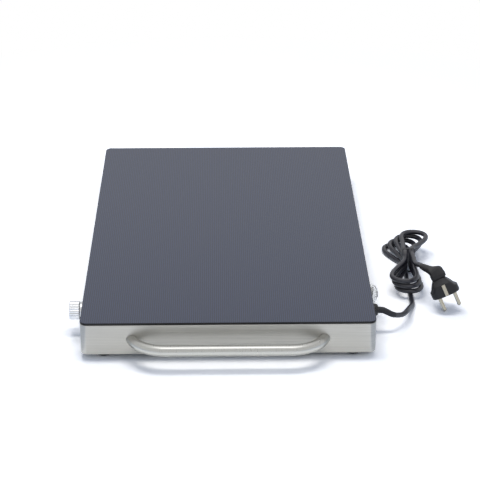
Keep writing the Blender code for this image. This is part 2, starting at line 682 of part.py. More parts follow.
def build_handles(root):
    for name, end in (("front_handle", -1), ("rear_handle", 1)):
        tube = add_tube(name, handle_route(end), HANDLE_TUBE_RADIUS, SATIN_TUBE, root, resolution=6)
        handle = as_mesh_piece(tube)
        wall = end * (HALF_DEPTH + JOINT_GAP)
        reach = 3 * HANDLE_TUBE_RADIUS
        trim = box((HANDLE_SPAN + 2 * reach, reach, reach), 0.0,
                   (0, wall - end * reach / 2, HANDLE_AXIS_HEIGHT))
        cut(handle, name + "_trim", trim, root)
        bores = bmesh.new()
        for side in (-1, 1):
            place = Matrix.Translation((side * HANDLE_SPAN / 2, wall, HANDLE_AXIS_HEIGHT))
            rod(M5_HOLE_RADIUS, -CUT_OVERRUN, HANDLE_BORE_DEPTH, 16, place @ facing((0, end, 0)).to_4x4(), bores)
        cut(handle, name + "_bores", bores, root)
    for name, end, side in handle_places():
        seat = HALF_DEPTH - SHEET - JOINT_GAP
        add_screw("handle_screw_" + name, M5_HEAD_RADIUS, M5_HEAD_HEIGHT, M5_RADIUS,
                  SHEET + 2 * JOINT_GAP + HANDLE_SCREW_BITE, PLAIN_STEEL, root,
                  (side * HANDLE_SPAN / 2, end * seat, HANDLE_AXIS_HEIGHT), (0, end, 0))


def build_heater(root):
    half_x = TRAY_WIDTH / 2
    half_y = TRAY_DEPTH / 2
    inner = TRAY_SHEET + STACK_SIDE_GAP
    rim = INSULATION_TOP
    profile = [(0, TRAY_UNDERSIDE), (0, rim), (TRAY_SHEET, rim), (TRAY_SHEET, TRAY_FLOOR_TOP)]
    tray = skin(bmesh.new(), [ring_loop(half_x, half_y, TRAY_CORNER_RADIUS, i, h) for i, h in profile])
    add_piece("reflector_tray", tray, BRIGHT_METAL, root)
    profile = [(inner, INSULATION_UNDERSIDE), (inner, INSULATION_TOP)]
    add_piece("insulation_board", slab(half_x, half_y, TRAY_CORNER_RADIUS, profile), FIBRE_WHITE, root)
    profile = [(inner, MAT_UNDERSIDE), (inner, MAT_TOP)]
    add_piece("heating_mat", slab(half_x, half_y, TRAY_CORNER_RADIUS, profile), MAT_RED, root)
    low = BASE_TOP + JOINT_GAP
    high = TRAY_UNDERSIDE - JOINT_GAP
    for name, end, side in handle_places():
        place = (side * (half_x - POST_EDGE_INSET), end * (half_y - POST_EDGE_INSET), 0)
        add_piece("tray_post_" + name, rod(POST_RADIUS, low, high, 16), PLAIN_STEEL, root, place)


def build_control(root):
    """Thermostat behind the left wall, with its shaft and knob on one turning axis."""
    inner_wall = -HALF_WIDTH + SHEET + JOINT_GAP
    axis_point = (-HALF_WIDTH, KNOB_Y, SIDE_AXIS_HEIGHT)
    outwards = facing((-1, 0, 0))
    turn = outwards.to_quaternion()
    body_centre = (inner_wall + THERMOSTAT_REACH / 2, KNOB_Y, SIDE_AXIS_HEIGHT)
    body = add_piece("thermostat_body",
                     box((THERMOSTAT_REACH, THERMOSTAT_LENGTH, THERMOSTAT_HEIGHT), THERMOSTAT_EDGE),
                     BLACK_PLASTIC, root, body_centre)
    bush_low = -SHEET - JOINT_GAP - SHAFT_BITE / 2
    place = Matrix.Translation(Vector(axis_point) - Vector(body_centre)) @ outwards.to_4x4()
    bush = rod(BUSH_RADIUS, bush_low, BUSH_REACH, 24, place)
    bush_mesh = bpy.data.meshes.new("thermostat_bush")
    bush.to_mesh(bush_mesh)
    bush.free()
    bush_object = bpy.data.objects.new("thermostat_bush", bush_mesh)
    bpy.context.scene.collection.objects.link(bush_object)
    bush_object.parent = root
    bush_object.location = body_centre
    bush_object.hide_render = True
    bush_object.display_type = "WIRE"
    union = body.modifiers.new("Bush", "BOOLEAN")
    union.operation = "UNION"
    union.solver = "EXACT"
    union.object = bush_object
    bore_bottom = -SHEET - SHAFT_BITE - JOINT_GAP
    bore = rod(SHAFT_RADIUS + SHAFT_RUNNING_GAP, bore_bottom, BUSH_REACH + CUT_OVERRUN, 24,
               Matrix.Translation(axis_point) @ outwards.to_4x4())
    cut(body, "thermostat_bore", bore, root)

    axis = bpy.data.objects.new("knob_axis", None)
    bpy.context.scene.collection.objects.link(axis)
    axis.parent = root
    axis.location = axis_point
    knob_low = COLLAR_LENGTH + 2 * JOINT_GAP
    shaft_low = -SHEET - SHAFT_BITE
    shaft_high = knob_low + KNOB_BORE_DEPTH - JOINT_GAP
    add_piece("thermostat_shaft", rod(SHAFT_RADIUS, shaft_low, shaft_high, 24), BRIGHT_METAL, axis,
              (0, 0, 0), turn)
    knob = add_piece("control_knob", fluted_knob(), BRIGHT_METAL, axis, (-knob_low, 0, 0), turn)
    bore = rod(SHAFT_RADIUS + JOINT_GAP, -CUT_OVERRUN, KNOB_BORE_DEPTH, 24, outwards.to_4x4())
    cut(knob, "knob_bore", bore, axis, (-knob_low, 0, 0))

    nut_turn = facing((-1, 0, 0)).to_quaternion()
    nut = hex_ring(NUT_ACROSS_FLATS, BUSH_RADIUS + JOINT_GAP, NUT_THICKNESS)
    add_piece("thermostat_nut", nut, BRASS, root, (-HALF_WIDTH - JOINT_GAP, KNOB_Y, SIDE_AXIS_HEIGHT), nut_turn)
    top = COLLAR_LENGTH
    profile = [
        (COLLAR_BORE_RADIUS, 0), (COLLAR_RADIUS, 0), (COLLAR_RADIUS, top - COLLAR_ROUNDING),
        (COLLAR_RADIUS - COLLAR_ROUNDING, top), (BUSH_RADIUS + 2 * JOINT_GAP, top),
        (BUSH_RADIUS + 2 * JOINT_GAP, top - SHEET), (COLLAR_BORE_RADIUS, top - SHEET)]
    add_piece("knob_collar", turned(profile, 32), BRIGHT_METAL, root,
              (-HALF_WIDTH - JOINT_GAP, KNOB_Y, SIDE_AXIS_HEIGHT), turn)


def fluted_knob():
    """Fluted grip with rounded edges, its back on z = 0."""
    def loop(height, draw, flute):
        points = []
        for step in range(KNOB_FLUTES * 4):
            angle = 2 * math.pi * step / (KNOB_FLUTES * 4)
            wave = (1 - math.cos(KNOB_FLUTES * angle)) / 2
            radius = KNOB_RADIUS - draw - flute * KNOB_FLUTE_DEPTH * wave
            points.append((radius * math.cos(angle), radius * math.sin(angle), height))
        return points
    rounding = KNOB_EDGE_ROUNDING
    loops = [loop(0, rounding, 0), loop(rounding / 2, 0, 1), loop(KNOB_LENGTH - rounding, 0, 1),
             loop(KNOB_LENGTH, rounding, 0)]
    return skin(bmesh.new(), loops)


def build_bulb(root):
    """Sensing bulb along the tray's left edge and its capillary back to the thermostat."""
    bulb_x = -TRAY_WIDTH / 2 - BULB_WALL_GAP
    bulb_z = GLASS_UNDERSIDE - BULB_RADIUS - BULB_GLASS_GAP
    start_y = KNOB_Y + THERMOSTAT_LENGTH
    thermostat_end = -HALF_WIDTH + SHEET + THERMOSTAT_REACH / 2
    lead = [
        (thermostat_end, KNOB_Y + THERMOSTAT_LENGTH / 2 + JOINT_GAP, SIDE_AXIS_HEIGHT),
        (thermostat_end, KNOB_Y + THERMOSTAT_LENGTH * 0.75, SIDE_AXIS_HEIGHT),
        (bulb_x, start_y + BULB_LENGTH * 0.2, bulb_z),
        (bulb_x, start_y + BULB_LENGTH * 0.4, bulb_z)]
    lead = smooth_route(lead, BULB_LENGTH / 12)
    radii = [CAPILLARY_RADIUS] * len(lead)
    taper = BULB_RADIUS
    for reach, radius in ((taper, BULB_RADIUS), (BULB_LENGTH, BULB_RADIUS), (BULB_LENGTH + taper, CAPILLARY_RADIUS)):
        lead.append(Vector((bulb_x, start_y + BULB_LENGTH * 0.4 + reach, bulb_z)))
        radii.append(radius)
    add_tube("sensing_bulb", lead, BULB_RADIUS, COPPER, root, 2, radii)


def build_switch(root):
    wall = HALF_WIDTH
    seat = wall + JOINT_GAP
    centre = Vector((0, SWITCH_Y, SIDE_AXIS_HEIGHT))
    shell = bmesh.new()
    opening_y = SWITCH_BODY_LENGTH / 2 - SWITCH_WALL
    opening_z = SWITCH_BODY_HEIGHT / 2 - SWITCH_WALL
    levels = [
        (-SWITCH_BODY_REACH, SWITCH_BODY_LENGTH / 2, SWITCH_BODY_HEIGHT / 2, SWITCH_CORNER_RADIUS),
        (0, SWITCH_BODY_LENGTH / 2, SWITCH_BODY_HEIGHT / 2, SWITCH_CORNER_RADIUS),
        (0, BEZEL_LENGTH / 2, BEZEL_HEIGHT / 2, BEZEL_CORNER_RADIUS),
        (BEZEL_THICKNESS - BEZEL_CHAMFER, BEZEL_LENGTH / 2, BEZEL_HEIGHT / 2, BEZEL_CORNER_RADIUS),
        (BEZEL_THICKNESS, BEZEL_LENGTH / 2 - BEZEL_CHAMFER, BEZEL_HEIGHT / 2 - BEZEL_CHAMFER,
         BEZEL_CORNER_RADIUS - BEZEL_CHAMFER),
        (BEZEL_THICKNESS, opening_y, opening_z, SWITCH_CORNER_RADIUS),
        (BEZEL_THICKNESS - SWITCH_CAVITY_DEPTH, opening_y, opening_z, SWITCH_CORNER_RADIUS)]
    loops = []
    for out, half_y, half_z, corner in levels:
        outline = rounded_outline(half_y, half_z, corner)
        loops.append([(seat + out, SWITCH_Y + y, SIDE_AXIS_HEIGHT + z) for y, z in outline])
    skin(shell, loops)
    housing = add_piece("switch_housing", shell, BLACK_PLASTIC, root)
    tab_low = -SWITCH_BODY_REACH - TAB_LENGTH
    tabs = bmesh.new()
    tab_reach = TAB_LENGTH + SWITCH_WALL
    for index in (-1, 0, 1):
        box((tab_reach, TAB_THICKNESS, TAB_WIDTH), 0.0,
            (seat + tab_low + tab_reach / 2, SWITCH_Y + index * TAB_PITCH, SIDE_AXIS_HEIGHT), tabs)
    tab_mesh = bpy.data.meshes.new("switch_tabs")
    bmesh.ops.recalc_face_normals(tabs, faces=tabs.faces)
    tabs.to_mesh(tab_mesh)
    tabs.free()
    tab_object = bpy.data.objects.new("switch_tabs", tab_mesh)
    bpy.context.scene.collection.objects.link(tab_object)
    tab_object.parent = root
    tab_object.hide_render = True
    tab_object.display_type = "WIRE"
    union = housing.modifiers.new("Tabs", "BOOLEAN")
    union.operation = "UNION"
    union.solver = "EXACT"
    union.object = tab_object

    half_length = opening_y - ROCKER_END_GAP
    half_height = opening_z - ROCKER_SIDE_GAP
    tip = ROCKER_VALLEY_HEIGHT + half_length * math.tan(math.radians(ROCKER_TILT_DEGREES))
    outline = [
        (-ROCKER_HUB_HALF_WIDTH, -ROCKER_HUB_DEPTH), (ROCKER_HUB_HALF_WIDTH, -ROCKER_HUB_DEPTH),
        (half_length, -ROCKER_SKIRT_DEPTH), (half_length, tip), (0, ROCKER_VALLEY_HEIGHT),
        (-half_length, tip), (-half_length, -ROCKER_SKIRT_DEPTH)]
    rocker = bmesh.new()
    skin(rocker, [[(out - ROCKER_PIVOT_HEIGHT, y, z) for y, out in outline] for z in (-half_height, half_height)])
    tilt = Matrix.Rotation(math.radians(-ROCKER_TILT_DEGREES), 3, "Z").to_quaternion()
    add_piece("switch_rocker", rocker, BLACK_PLASTIC, root,
              (seat + ROCKER_PIVOT_HEIGHT, SWITCH_Y, SIDE_AXIS_HEIGHT), tilt)

    inner_y = BEZEL_LENGTH / 2 + BOOT_RIM_GAP
    inner_z = BEZEL_HEIGHT / 2 + BOOT_RIM_GAP
    outer_y = inner_y + BOOT_WALL
    outer_z = inner_z + BOOT_WALL
    rim_corner = BEZEL_CORNER_RADIUS + BOOT_RIM_GAP
    rim_radius = rim_corner + BOOT_WALL
    inner_top = BOOT_HEIGHT - BOOT_WALL
    levels = [(outer_y * w, outer_z * w, rim_radius, h, BOOT_HEIGHT * h) for w, h in BOOT_DOME_SHARES[::-1]]
    levels += [(inner_y * w, inner_z * w, rim_corner, h, inner_top * h) for w, h in BOOT_DOME_SHARES]
    loops = []
    for half_y, half_z, rim, share, out in levels:
        corner = rim + (half_z * BOOT_CORNER_SHARE - rim) * share
        loops.append([(out, y, z) for y, z in rounded_outline(half_y, half_z, corner)])
    add_piece("switch_boot", skin(bmesh.new(), loops), CLEAR_VINYL, root, (seat, SWITCH_Y, SIDE_AXIS_HEIGHT))


def build_gland(root):
    """Round-headed cord bushing through the right wall, its nut, and the cord's stripped end inside."""
    bore = CORD_RADIUS + JOINT_GAP
    profile = [(bore, -GLAND_SHANK_LENGTH), (GLAND_SHANK_RADIUS, -GLAND_SHANK_LENGTH),
               (GLAND_SHANK_RADIUS, JOINT_GAP), (GLAND_HEAD_RADIUS, JOINT_GAP)]
    straight = GLAND_HEAD_LENGTH / 3
    steps = 6
    for step in range(steps + 1):
        angle = math.radians(90 * step / steps)
        radius = GLAND_NOSE_RADIUS + (GLAND_HEAD_RADIUS - GLAND_NOSE_RADIUS) * math.cos(angle)
        profile.append((radius, straight + (GLAND_HEAD_LENGTH - straight) * math.sin(angle)))
    profile.append((bore, GLAND_HEAD_LENGTH))
    turn = facing((1, 0, 0)).to_quaternion()
    place = (HALF_WIDTH, GLAND_Y, SIDE_AXIS_HEIGHT)
    add_piece("cord_bushing", turned(profile, 28), BLACK_PLASTIC, root, place, turn)
    nut = hex_ring(GLAND_NUT_ACROSS_FLATS, GLAND_SHANK_RADIUS + JOINT_GAP, GLAND_NUT_THICKNESS)
    place = (HALF_WIDTH - SHEET - JOINT_GAP - GLAND_NUT_THICKNESS, GLAND_Y, SIDE_AXIS_HEIGHT)
    add_piece("bushing_nut", nut, BLACK_PLASTIC, root, place, turn)
    place = (HALF_WIDTH, GLAND_Y, SIDE_AXIS_HEIGHT)
    add_piece("cord_inner_end", rod(CORD_RADIUS, -SHEATH_END_DISTANCE, GLAND_HEAD_LENGTH, 16),
              CORD_VINYL, root, place, turn)


def build_wiring(root):
    """Terminal block on the base plate, earth screw, cut-out under the tray, and the inner wires."""
    block_low = BASE_TOP + JOINT_GAP
    add_piece("terminal_block", box((BLOCK_WIDTH, BLOCK_LENGTH, BLOCK_HEIGHT), BLOCK_EDGE), BLOCK_WHITE,
              root, (BLOCK_X, BLOCK_Y, block_low + BLOCK_HEIGHT / 2))
    add_screw("earth_screw", M4_HEAD_RADIUS, M4_HEAD_HEIGHT, M4_RADIUS, EARTH_SCREW_LENGTH, BRASS, root,
              (BLOCK_X, EARTH_SCREW_Y, BASE_TOP + JOINT_GAP), (0, 0, -1))
    cutout_high = TRAY_UNDERSIDE - JOINT_GAP
    add_piece("thermal_cutout", rod(CUTOUT_RADIUS, cutout_high - CUTOUT_HEIGHT, cutout_high, 24),
              BLACK_PLASTIC, root, (CUTOUT_SIDE_SHARE * TRAY_WIDTH / 2, BLOCK_Y, 0))

    start_x = HALF_WIDTH - SHEATH_END_DISTANCE - 2 * JOINT_GAP
    tab_x = HALF_WIDTH - SWITCH_BODY_REACH - TAB_LENGTH
    core = CORD_RADIUS / 2
    z = SIDE_AXIS_HEIGHT
    inner_x = BLOCK_X - BLOCK_WIDTH / 2
    live_start = Vector((start_x, GLAND_Y + core / 2, z + core * 0.8))
    live_end = Vector((tab_x, SWITCH_Y - TAB_PITCH, z))
    lean = Vector((2 * CORD_RADIUS, 0, 0))
    apart = Vector((0, core, 0))
    route = [live_start, live_start - lean / 2, live_start.lerp(live_end, 0.35) - lean,
             live_end - lean, live_end - lean / 2, live_end]
    add_tube("live_wire", smooth_route(route, CORD_RADIUS), WIRE_RADIUS, WIRE_BROWN, root, 1)
    neutral_start = Vector((start_x, GLAND_Y + core * 0.9, z - core * 0.9))
    neutral_end = Vector((BLOCK_X, BLOCK_Y - BLOCK_LENGTH / 2 - JOINT_GAP, block_low + BLOCK_HEIGHT / 2))
    aside = Vector((inner_x, SWITCH_Y, block_low + BLOCK_HEIGHT / 2))
    run_in = Vector((0, 2 * CORD_RADIUS, 0))
    route = [neutral_start, neutral_start - lean + apart, neutral_start.lerp(aside, 0.4) - lean / 2,
             aside, neutral_end - run_in, neutral_end]
    add_tube("neutral_wire", smooth_route(route, CORD_RADIUS), WIRE_RADIUS, WIRE_BLUE, root, 1)
    earth_start = Vector((start_x, GLAND_Y - core * 0.9, z - core * 0.9))
    earth_end = Vector((BLOCK_X, EARTH_SCREW_Y + M4_HEAD_RADIUS + JOINT_GAP, BASE_TOP + 2 * WIRE_RADIUS))
    down = Vector((-lean.x, 0, 0))
    route = [earth_start, earth_start + down - apart, earth_start.lerp(earth_end, 0.5) + down,
             earth_end + run_in / 2, earth_end]
    add_tube("earth_wire", smooth_route(route, CORD_RADIUS), WIRE_RADIUS, WIRE_GREEN, root, 1)
    mat_edge = TRAY_WIDTH / 2 - TRAY_SHEET - STACK_SIDE_GAP + JOINT_GAP
    rise = Vector((0, 0, CORD_RADIUS))
    for name, side in (("heater_lead_live", -1), ("heater_lead_neutral", 1)):
        y = BLOCK_Y + side * BLOCK_LENGTH / 4
        low = Vector((BLOCK_X, y, block_low + BLOCK_HEIGHT + JOINT_GAP))
        high = Vector((mat_edge, y, (MAT_TOP + MAT_UNDERSIDE) / 2))
        route = [low, low + rise, Vector((inner_x, y, low.z + 3 * rise.z)), high + 2 * lean - rise / 2,
                 high + lean, high]
        add_tube(name, smooth_route(route, CORD_RADIUS), HEATER_LEAD_RADIUS, BRIGHT_METAL, root, 1)


def smoothstep(value):
    value = min(1, max(0, value))
    return value * value * (3 - 2 * value)


def hank_points():
    """Flat loops along Y, drawn in at the waist, each loop a layer higher than the last."""
    half_turn = 180.0
    full_turn = 360.0
    last = full_turn * HANK_LOOPS
    climbs = math.ceil(HANK_LOOPS)
    far_span = last - half_turn
    near_span = far_span - full_turn
    spread = HANK_LOBE_WIDTH - HANK_WAIST_HALF_WIDTH

    def place(run, across, layer):
        lift = (TIE_THICKNESS + TIE_GAP) * (1 - smoothstep(abs(run) / HANK_LIFT_REACH))
        height = CORD_REST_HEIGHT + HANK_LAYER_PITCH * layer + lift
        return Vector((HANK_X + across, HANK_Y + run, height))

    points = []
    entry_steps = 7
    for step in range(entry_steps):
        run = -HANK_ENTRY_LENGTH * (1 - step / entry_steps)
        points.append(place(run, -HANK_WAIST_HALF_WIDTH, 0))
    total = last + HANK_EXIT_TURN_DEGREES
    steps = round(HANK_POINTS_PER_LOOP * total / full_turn)
    for step in range(steps + 1):
        degrees = total * step / steps
        sine = math.sin(math.radians(degrees))
        cosine = math.cos(math.radians(degrees))
        if sine > 0:
            share = (degrees - half_turn / 2) / far_span
            fan = HANK_FAR_FAN_FIRST + (HANK_FAR_FAN_LAST - HANK_FAR_FAN_FIRST) * min(1, max(0, share))
        else:
            share = (degrees - 1.5 * half_turn) / near_span
            fan = HANK_NEAR_FAN_FIRST + (HANK_NEAR_FAN_LAST - HANK_NEAR_FAN_FIRST) * min(1, max(0, share))
        across = -cosine * (HANK_WAIST_HALF_WIDTH + spread * sine ** 2)
        layer = 0.0
        for climb in range(climbs):
            start = half_turn + full_turn * climb - HANK_CLIMB_HALF_TURN_DEGREES
            layer += smoothstep((degrees - start) / (2 * HANK_CLIMB_HALF_TURN_DEGREES))
        reach = HANK_HALF_LENGTH
        if sine > 0:
            reach += (HANK_LAST_HALF_LENGTH - HANK_HALF_LENGTH) * min(1, max(0, share))
        run = reach * sine
        tilt = math.atan2(fan, HANK_HALF_LENGTH) * smoothstep(abs(sine) / HANK_FAN_RUN_SHARE)
        tilt = math.copysign(tilt, tilt * sine)
        tilted = across * math.cos(tilt) + run * math.sin(tilt)
        points.append(place(run * math.cos(tilt) - across * math.sin(tilt), tilted, layer))
    out = points[-1].copy()
    out.y -= 2 * CORD_RADIUS
    points.append(out)
    return points


def least_self_gap(points, radius):
    """Least clear distance between stretches of a tube that aren't neighbours along it."""
    near = 8 * radius
    walked = [0.0]
    for a, b in zip(points, points[1:]):
        walked.append(walked[-1] + (b - a).length)
    fine = []
    for index, (a, b) in enumerate(zip(points, points[1:])):
        for step in range(4):
            fine.append((walked[index] + (walked[index + 1] - walked[index]) * step / 4, a.lerp(b, step / 4)))
    least = None
    for index, (at, point) in enumerate(fine):
        for other_at, other in fine[index + 1:]:
            if other_at - at > near:
                distance = (other - point).length
                least = distance if least is None else min(least, distance)
    return least - 2 * radius


def split_route(points, length):
    """Divide a route at a length from its start; the second part begins one gap further on."""
    walked = 0.0
    for index, (a, b) in enumerate(zip(points, points[1:])):
        step = (b - a).length
        if walked + step >= length:
            at = a.lerp(b, (length - walked) / step)
            after = at + (b - a).normalized() * JOINT_GAP
            return points[:index + 1] + [at], [after] + points[index + 1:]
        walked += step
    return points, []


def build_cord(root):
    hank = hank_points()
    nose = Vector((HALF_WIDTH + GLAND_HEAD_LENGTH + JOINT_GAP, GLAND_Y, SIDE_AXIS_HEIGHT))
    hank_start = hank[0] - Vector((0, JOINT_GAP, 0))
    way = hank_start - nose
    marks = [nose]
    for share_x, share_y, share_z in LEAD_SHARES:
        marks.append(nose + Vector((share_x * way.x, share_y * way.y, share_z * way.z)))
    marks.append(hank_start)
    route = smooth_route(marks, CORD_POINT_SPACING)
    relief, lead = split_route(route, RELIEF_LENGTH)
    taper = []
    for index in range(len(relief)):
        share = index / (len(relief) - 1)
        taper.append(RELIEF_ROOT_RADIUS + (RELIEF_TIP_RADIUS - RELIEF_ROOT_RADIUS) * share)
    add_tube("strain_relief", relief, RELIEF_ROOT_RADIUS, BLACK_RUBBER, root, 3, taper)
    add_tube("cord_lead", lead, CORD_RADIUS, CORD_VINYL, root, 2)
    add_tube("cord_hank", hank, CORD_RADIUS, CORD_VINYL, root, 1)
    gap = least_self_gap(hank, CORD_RADIUS)
    print("hank: least gap to itself %.2f mm" % (1000 * gap))

    low = JOINT_GAP
    top_layer = HANK_LOOPS
    high = CORD_REST_HEIGHT + HANK_LAYER_PITCH * top_layer + CORD_RADIUS + TIE_THICKNESS + 2 * TIE_GAP
    half_x = HANK_WAIST_HALF_WIDTH + CORD_RADIUS + TIE_GAP + TIE_THICKNESS
    half_z = (high + TIE_THICKNESS - low) / 2
    loops = []
    for inset, y in ((0, -1), (0, 1), (TIE_THICKNESS, 1), (TIE_THICKNESS, -1)):
        outline = rounded_outline(half_x - inset, half_z - inset, TIE_CORNER_RADIUS - inset)
        loops.append([(x, y * TIE_WIDTH / 2, z) for x, z in outline])
    add_piece("cord_tie", skin(bmesh.new(), loops, close=True), BLACK_PLASTIC, root,
              (HANK_X, HANK_Y, low + half_z))

    tip, tip_direction = build_plug(root)
    tail_start = hank[-1] - Vector((0, JOINT_GAP, 0))
    tail_end = tip + tip_direction * JOINT_GAP
    pull = (tail_end - tail_start).length / 3
    start_pull = tail_start - Vector((0, pull, 0))
    end_pull = tail_end + tip_direction * pull
    marks = []
    tail_steps = 8
    for step in range(tail_steps + 1):
        t = step / tail_steps
        s = 1 - t
        marks.append(s ** 3 * tail_start + 3 * s * s * t * start_pull + 3 * s * t * t * end_pull + t ** 3 * tail_end)
    tail = smooth_route(marks, CORD_POINT_SPACING)
    add_tube("cord_tail", tail, CORD_RADIUS, CORD_VINYL, root, 2)
    total = 0.0
    for points in (relief, lead, hank, tail):
        total += sum((b - a).length for a, b in zip(points, points[1:]))
    print("cord: %.3f m long from bushing to plug" % total)


def build_plug(root):
    """Moulded plug that stands on the tip of its lower pin; returns where the cord joins and its direction."""
    axis = Vector(PLUG_AXIS).normalized()
    across = Vector(PLUG_PIN_LINE)
    across = (across - across.dot(axis) * axis).normalized()
    depth = axis.cross(across)
    tip_radius = PLUG_PIN_RADIUS - PLUG_PIN_ROUNDING
    drop = PLUG_PIN_PITCH / 2 * across.z - PLUG_PIN_LENGTH * axis.z + tip_radius * math.sqrt(1 - axis.z ** 2)
    face = Vector((HANK_X + PLUG_SIDE_OFFSET, HANK_Y - PLUG_FRONT_OFFSET, JOINT_GAP + drop))

    def section(centre, side, front, half_width, half_depth, square):
        points = []
        for step in range(PLUG_POINTS):
            angle = 2 * math.pi * step / PLUG_POINTS
            cosine, sine = math.cos(angle), math.sin(angle)
            x = math.copysign(abs(cosine) ** (2 / square), cosine)
            y = math.copysign(abs(sine) ** (2 / square), sine)
            points.append(centre + side * half_width * x + front * half_depth * y)
        return points

    loops = []
    for share, width_share, depth_share, lean_share, square in PLUG_SECTION_SHARES:
        centre = face - axis * PLUG_BODY_LENGTH * share + across * PLUG_HALF_WIDTH * lean_share
        loops.append(section(centre, across, depth, PLUG_HALF_WIDTH * width_share,
                             PLUG_HALF_DEPTH * depth_share, square))
    root_point = centre
    root_width = PLUG_HALF_WIDTH * width_share
    root_depth = PLUG_HALF_DEPTH * depth_share
    tip = face + Vector(PLUG_NECK_TIP_OFFSET)
    tip_direction = Vector(PLUG_NECK_TIP_DIRECTION).normalized()
    first = root_point - axis * PLUG_NECK_ROOT_HANDLE
    second = tip - tip_direction * PLUG_NECK_TIP_HANDLE
    for step in range(1, PLUG_NECK_STEPS + 1):
        t = step / PLUG_NECK_STEPS
        s = 1 - t
        centre = s ** 3 * root_point + 3 * s * s * t * first + 3 * s * t * t * second + t ** 3 * tip
        along = 3 * s * s * (first - root_point) + 6 * s * t * (second - first) + 3 * t * t * (tip - second)
        along.normalize()
        side = (across - across.dot(along) * along).normalized()
        half_width = root_width + (PLUG_NECK_TIP_RADIUS - root_width) * t
        half_depth = root_depth + (PLUG_NECK_TIP_RADIUS - root_depth) * t
        loops.append(section(centre, side, side.cross(along), half_width, half_depth, square + (2 - square) * t))
    body = add_piece("plug_body", skin(bmesh.new(), loops), BLACK_RUBBER, root)
    sockets = bmesh.new()
    pin_turn = facing(axis)
    rounding = PLUG_PIN_ROUNDING
    profile = [(0, JOINT_GAP - PLUG_SOCKET_DEPTH), (PLUG_PIN_RADIUS, JOINT_GAP - PLUG_SOCKET_DEPTH),
               (PLUG_PIN_RADIUS, PLUG_PIN_LENGTH - rounding),
               (PLUG_PIN_RADIUS - rounding * 0.3, PLUG_PIN_LENGTH - rounding * 0.3),
               (PLUG_PIN_RADIUS - rounding, PLUG_PIN_LENGTH), (0, PLUG_PIN_LENGTH)]
    for name, side in (("left", -1), ("right", 1)):
        base = face + across * (side * PLUG_PIN_PITCH / 2)
        place = Matrix.Translation(base) @ pin_turn.to_4x4()
        rod(PLUG_PIN_RADIUS + JOINT_GAP, -PLUG_SOCKET_DEPTH, CUT_OVERRUN, 20, place, sockets)
        add_piece("plug_pin_" + name, turned(profile, 20), NICKEL, root, base, pin_turn.to_quaternion())
    cut(body, "plug_sockets", sockets, root)
    strip_turn = Matrix((across, depth, axis)).transposed().to_quaternion()
    strip_middle = CLIP_STRIP_FACE_DISTANCE + CLIP_STRIP_LENGTH / 2
    for name, side in (("front", 1), ("back", -1)):
        seat = PLUG_HALF_DEPTH + JOINT_GAP + CLIP_STRIP_THICKNESS / 2
        strip = box((CLIP_STRIP_WIDTH, CLIP_STRIP_THICKNESS, CLIP_STRIP_LENGTH), CLIP_STRIP_EDGE)
        add_piece("plug_earth_clip_" + name, strip, NICKEL, root,
                  face - axis * strip_middle + depth * (side * seat), strip_turn)
    return tip, tip_direction


def main():
    clear_scene()
    root = bpy.data.objects.new("hot_plate", None)
    bpy.context.scene.collection.objects.link(root)
    root.location = (SIDE_SHIFT, 0, 0)
    build_glass(root)
    build_frame(root)
    build_base(root)
    build_feet(root)
    build_handles(root)
    build_heater(root)
    build_control(root)
    build_bulb(root)
    build_switch(root)
    build_gland(root)
    build_wiring(root)
    build_cord(root)


main()
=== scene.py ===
"""Hot plate on a pale table, dressed for its photograph.

A glass top in a steel frame, with two handles, a knob, a switch and the mains cord. Metres, in the CAD
model's frame: the front handle is at -Y, the knob at -X, the switch and the cord at +X.
"""
import math

import bmesh
import bpy
from mathutils import Matrix, Quaternion, Vector


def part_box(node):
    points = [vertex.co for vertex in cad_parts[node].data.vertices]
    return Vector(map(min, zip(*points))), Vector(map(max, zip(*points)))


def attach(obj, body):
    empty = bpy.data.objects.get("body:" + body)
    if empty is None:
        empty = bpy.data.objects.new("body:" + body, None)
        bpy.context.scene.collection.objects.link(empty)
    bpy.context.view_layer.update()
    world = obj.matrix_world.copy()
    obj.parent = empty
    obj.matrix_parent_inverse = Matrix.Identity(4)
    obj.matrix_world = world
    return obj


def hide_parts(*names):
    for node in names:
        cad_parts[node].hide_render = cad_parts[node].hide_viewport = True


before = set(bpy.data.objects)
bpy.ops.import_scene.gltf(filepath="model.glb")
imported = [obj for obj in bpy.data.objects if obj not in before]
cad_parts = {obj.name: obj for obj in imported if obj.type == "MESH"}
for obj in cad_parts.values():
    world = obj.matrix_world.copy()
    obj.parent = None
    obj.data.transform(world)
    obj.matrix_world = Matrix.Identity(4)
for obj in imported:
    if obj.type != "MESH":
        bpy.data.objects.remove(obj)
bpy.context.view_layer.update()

# Camera.
# The photograph was taken from in front with a long lens, looking down at 25 degrees. The camera's place and
# turn come from the glass top's corners and the frame's lower edge, its scale from the plug's pins.
camera = bpy.data.objects.new("camera", bpy.data.cameras.new("camera"))
bpy.context.scene.collection.objects.link(camera)
camera.data.sensor_width = 36
camera.data.lens = 126.375
camera.location = (-0.00465, -1.9685, 0.9461)
pitch, yaw, roll = math.radians(25.05), math.radians(0.72), math.radians(-0.09)
ahead = Vector((math.sin(yaw) * math.cos(pitch), math.cos(yaw) * math.cos(pitch), -math.sin(pitch)))
camera.rotation_mode = "QUATERNION"
camera.rotation_quaternion = ahead.to_track_quat("-Z", "Y") @ Quaternion((0, 0, 1), roll)
camera.data.clip_start = 0.05
camera.data.clip_end = 50
bpy.context.scene.camera = camera


# Mains cord.
# A round 6.2 mm lead with a smooth black PVC sheath. It leaves the bushing, sinks to the table,
# is folded into a hank of three and a half loops, and comes out of it again to the plug.
def linear(colour):
    """An sRGB hex colour as the linear values that shaders work in."""
    parts = [int(colour[start:start + 2], 16) / 255 for start in (1, 3, 5)]
    values = [part / 12.92 if part <= 0.04045 else ((part + 0.055) / 1.055) ** 2.4 for part in parts]
    return (*values, 1.0)


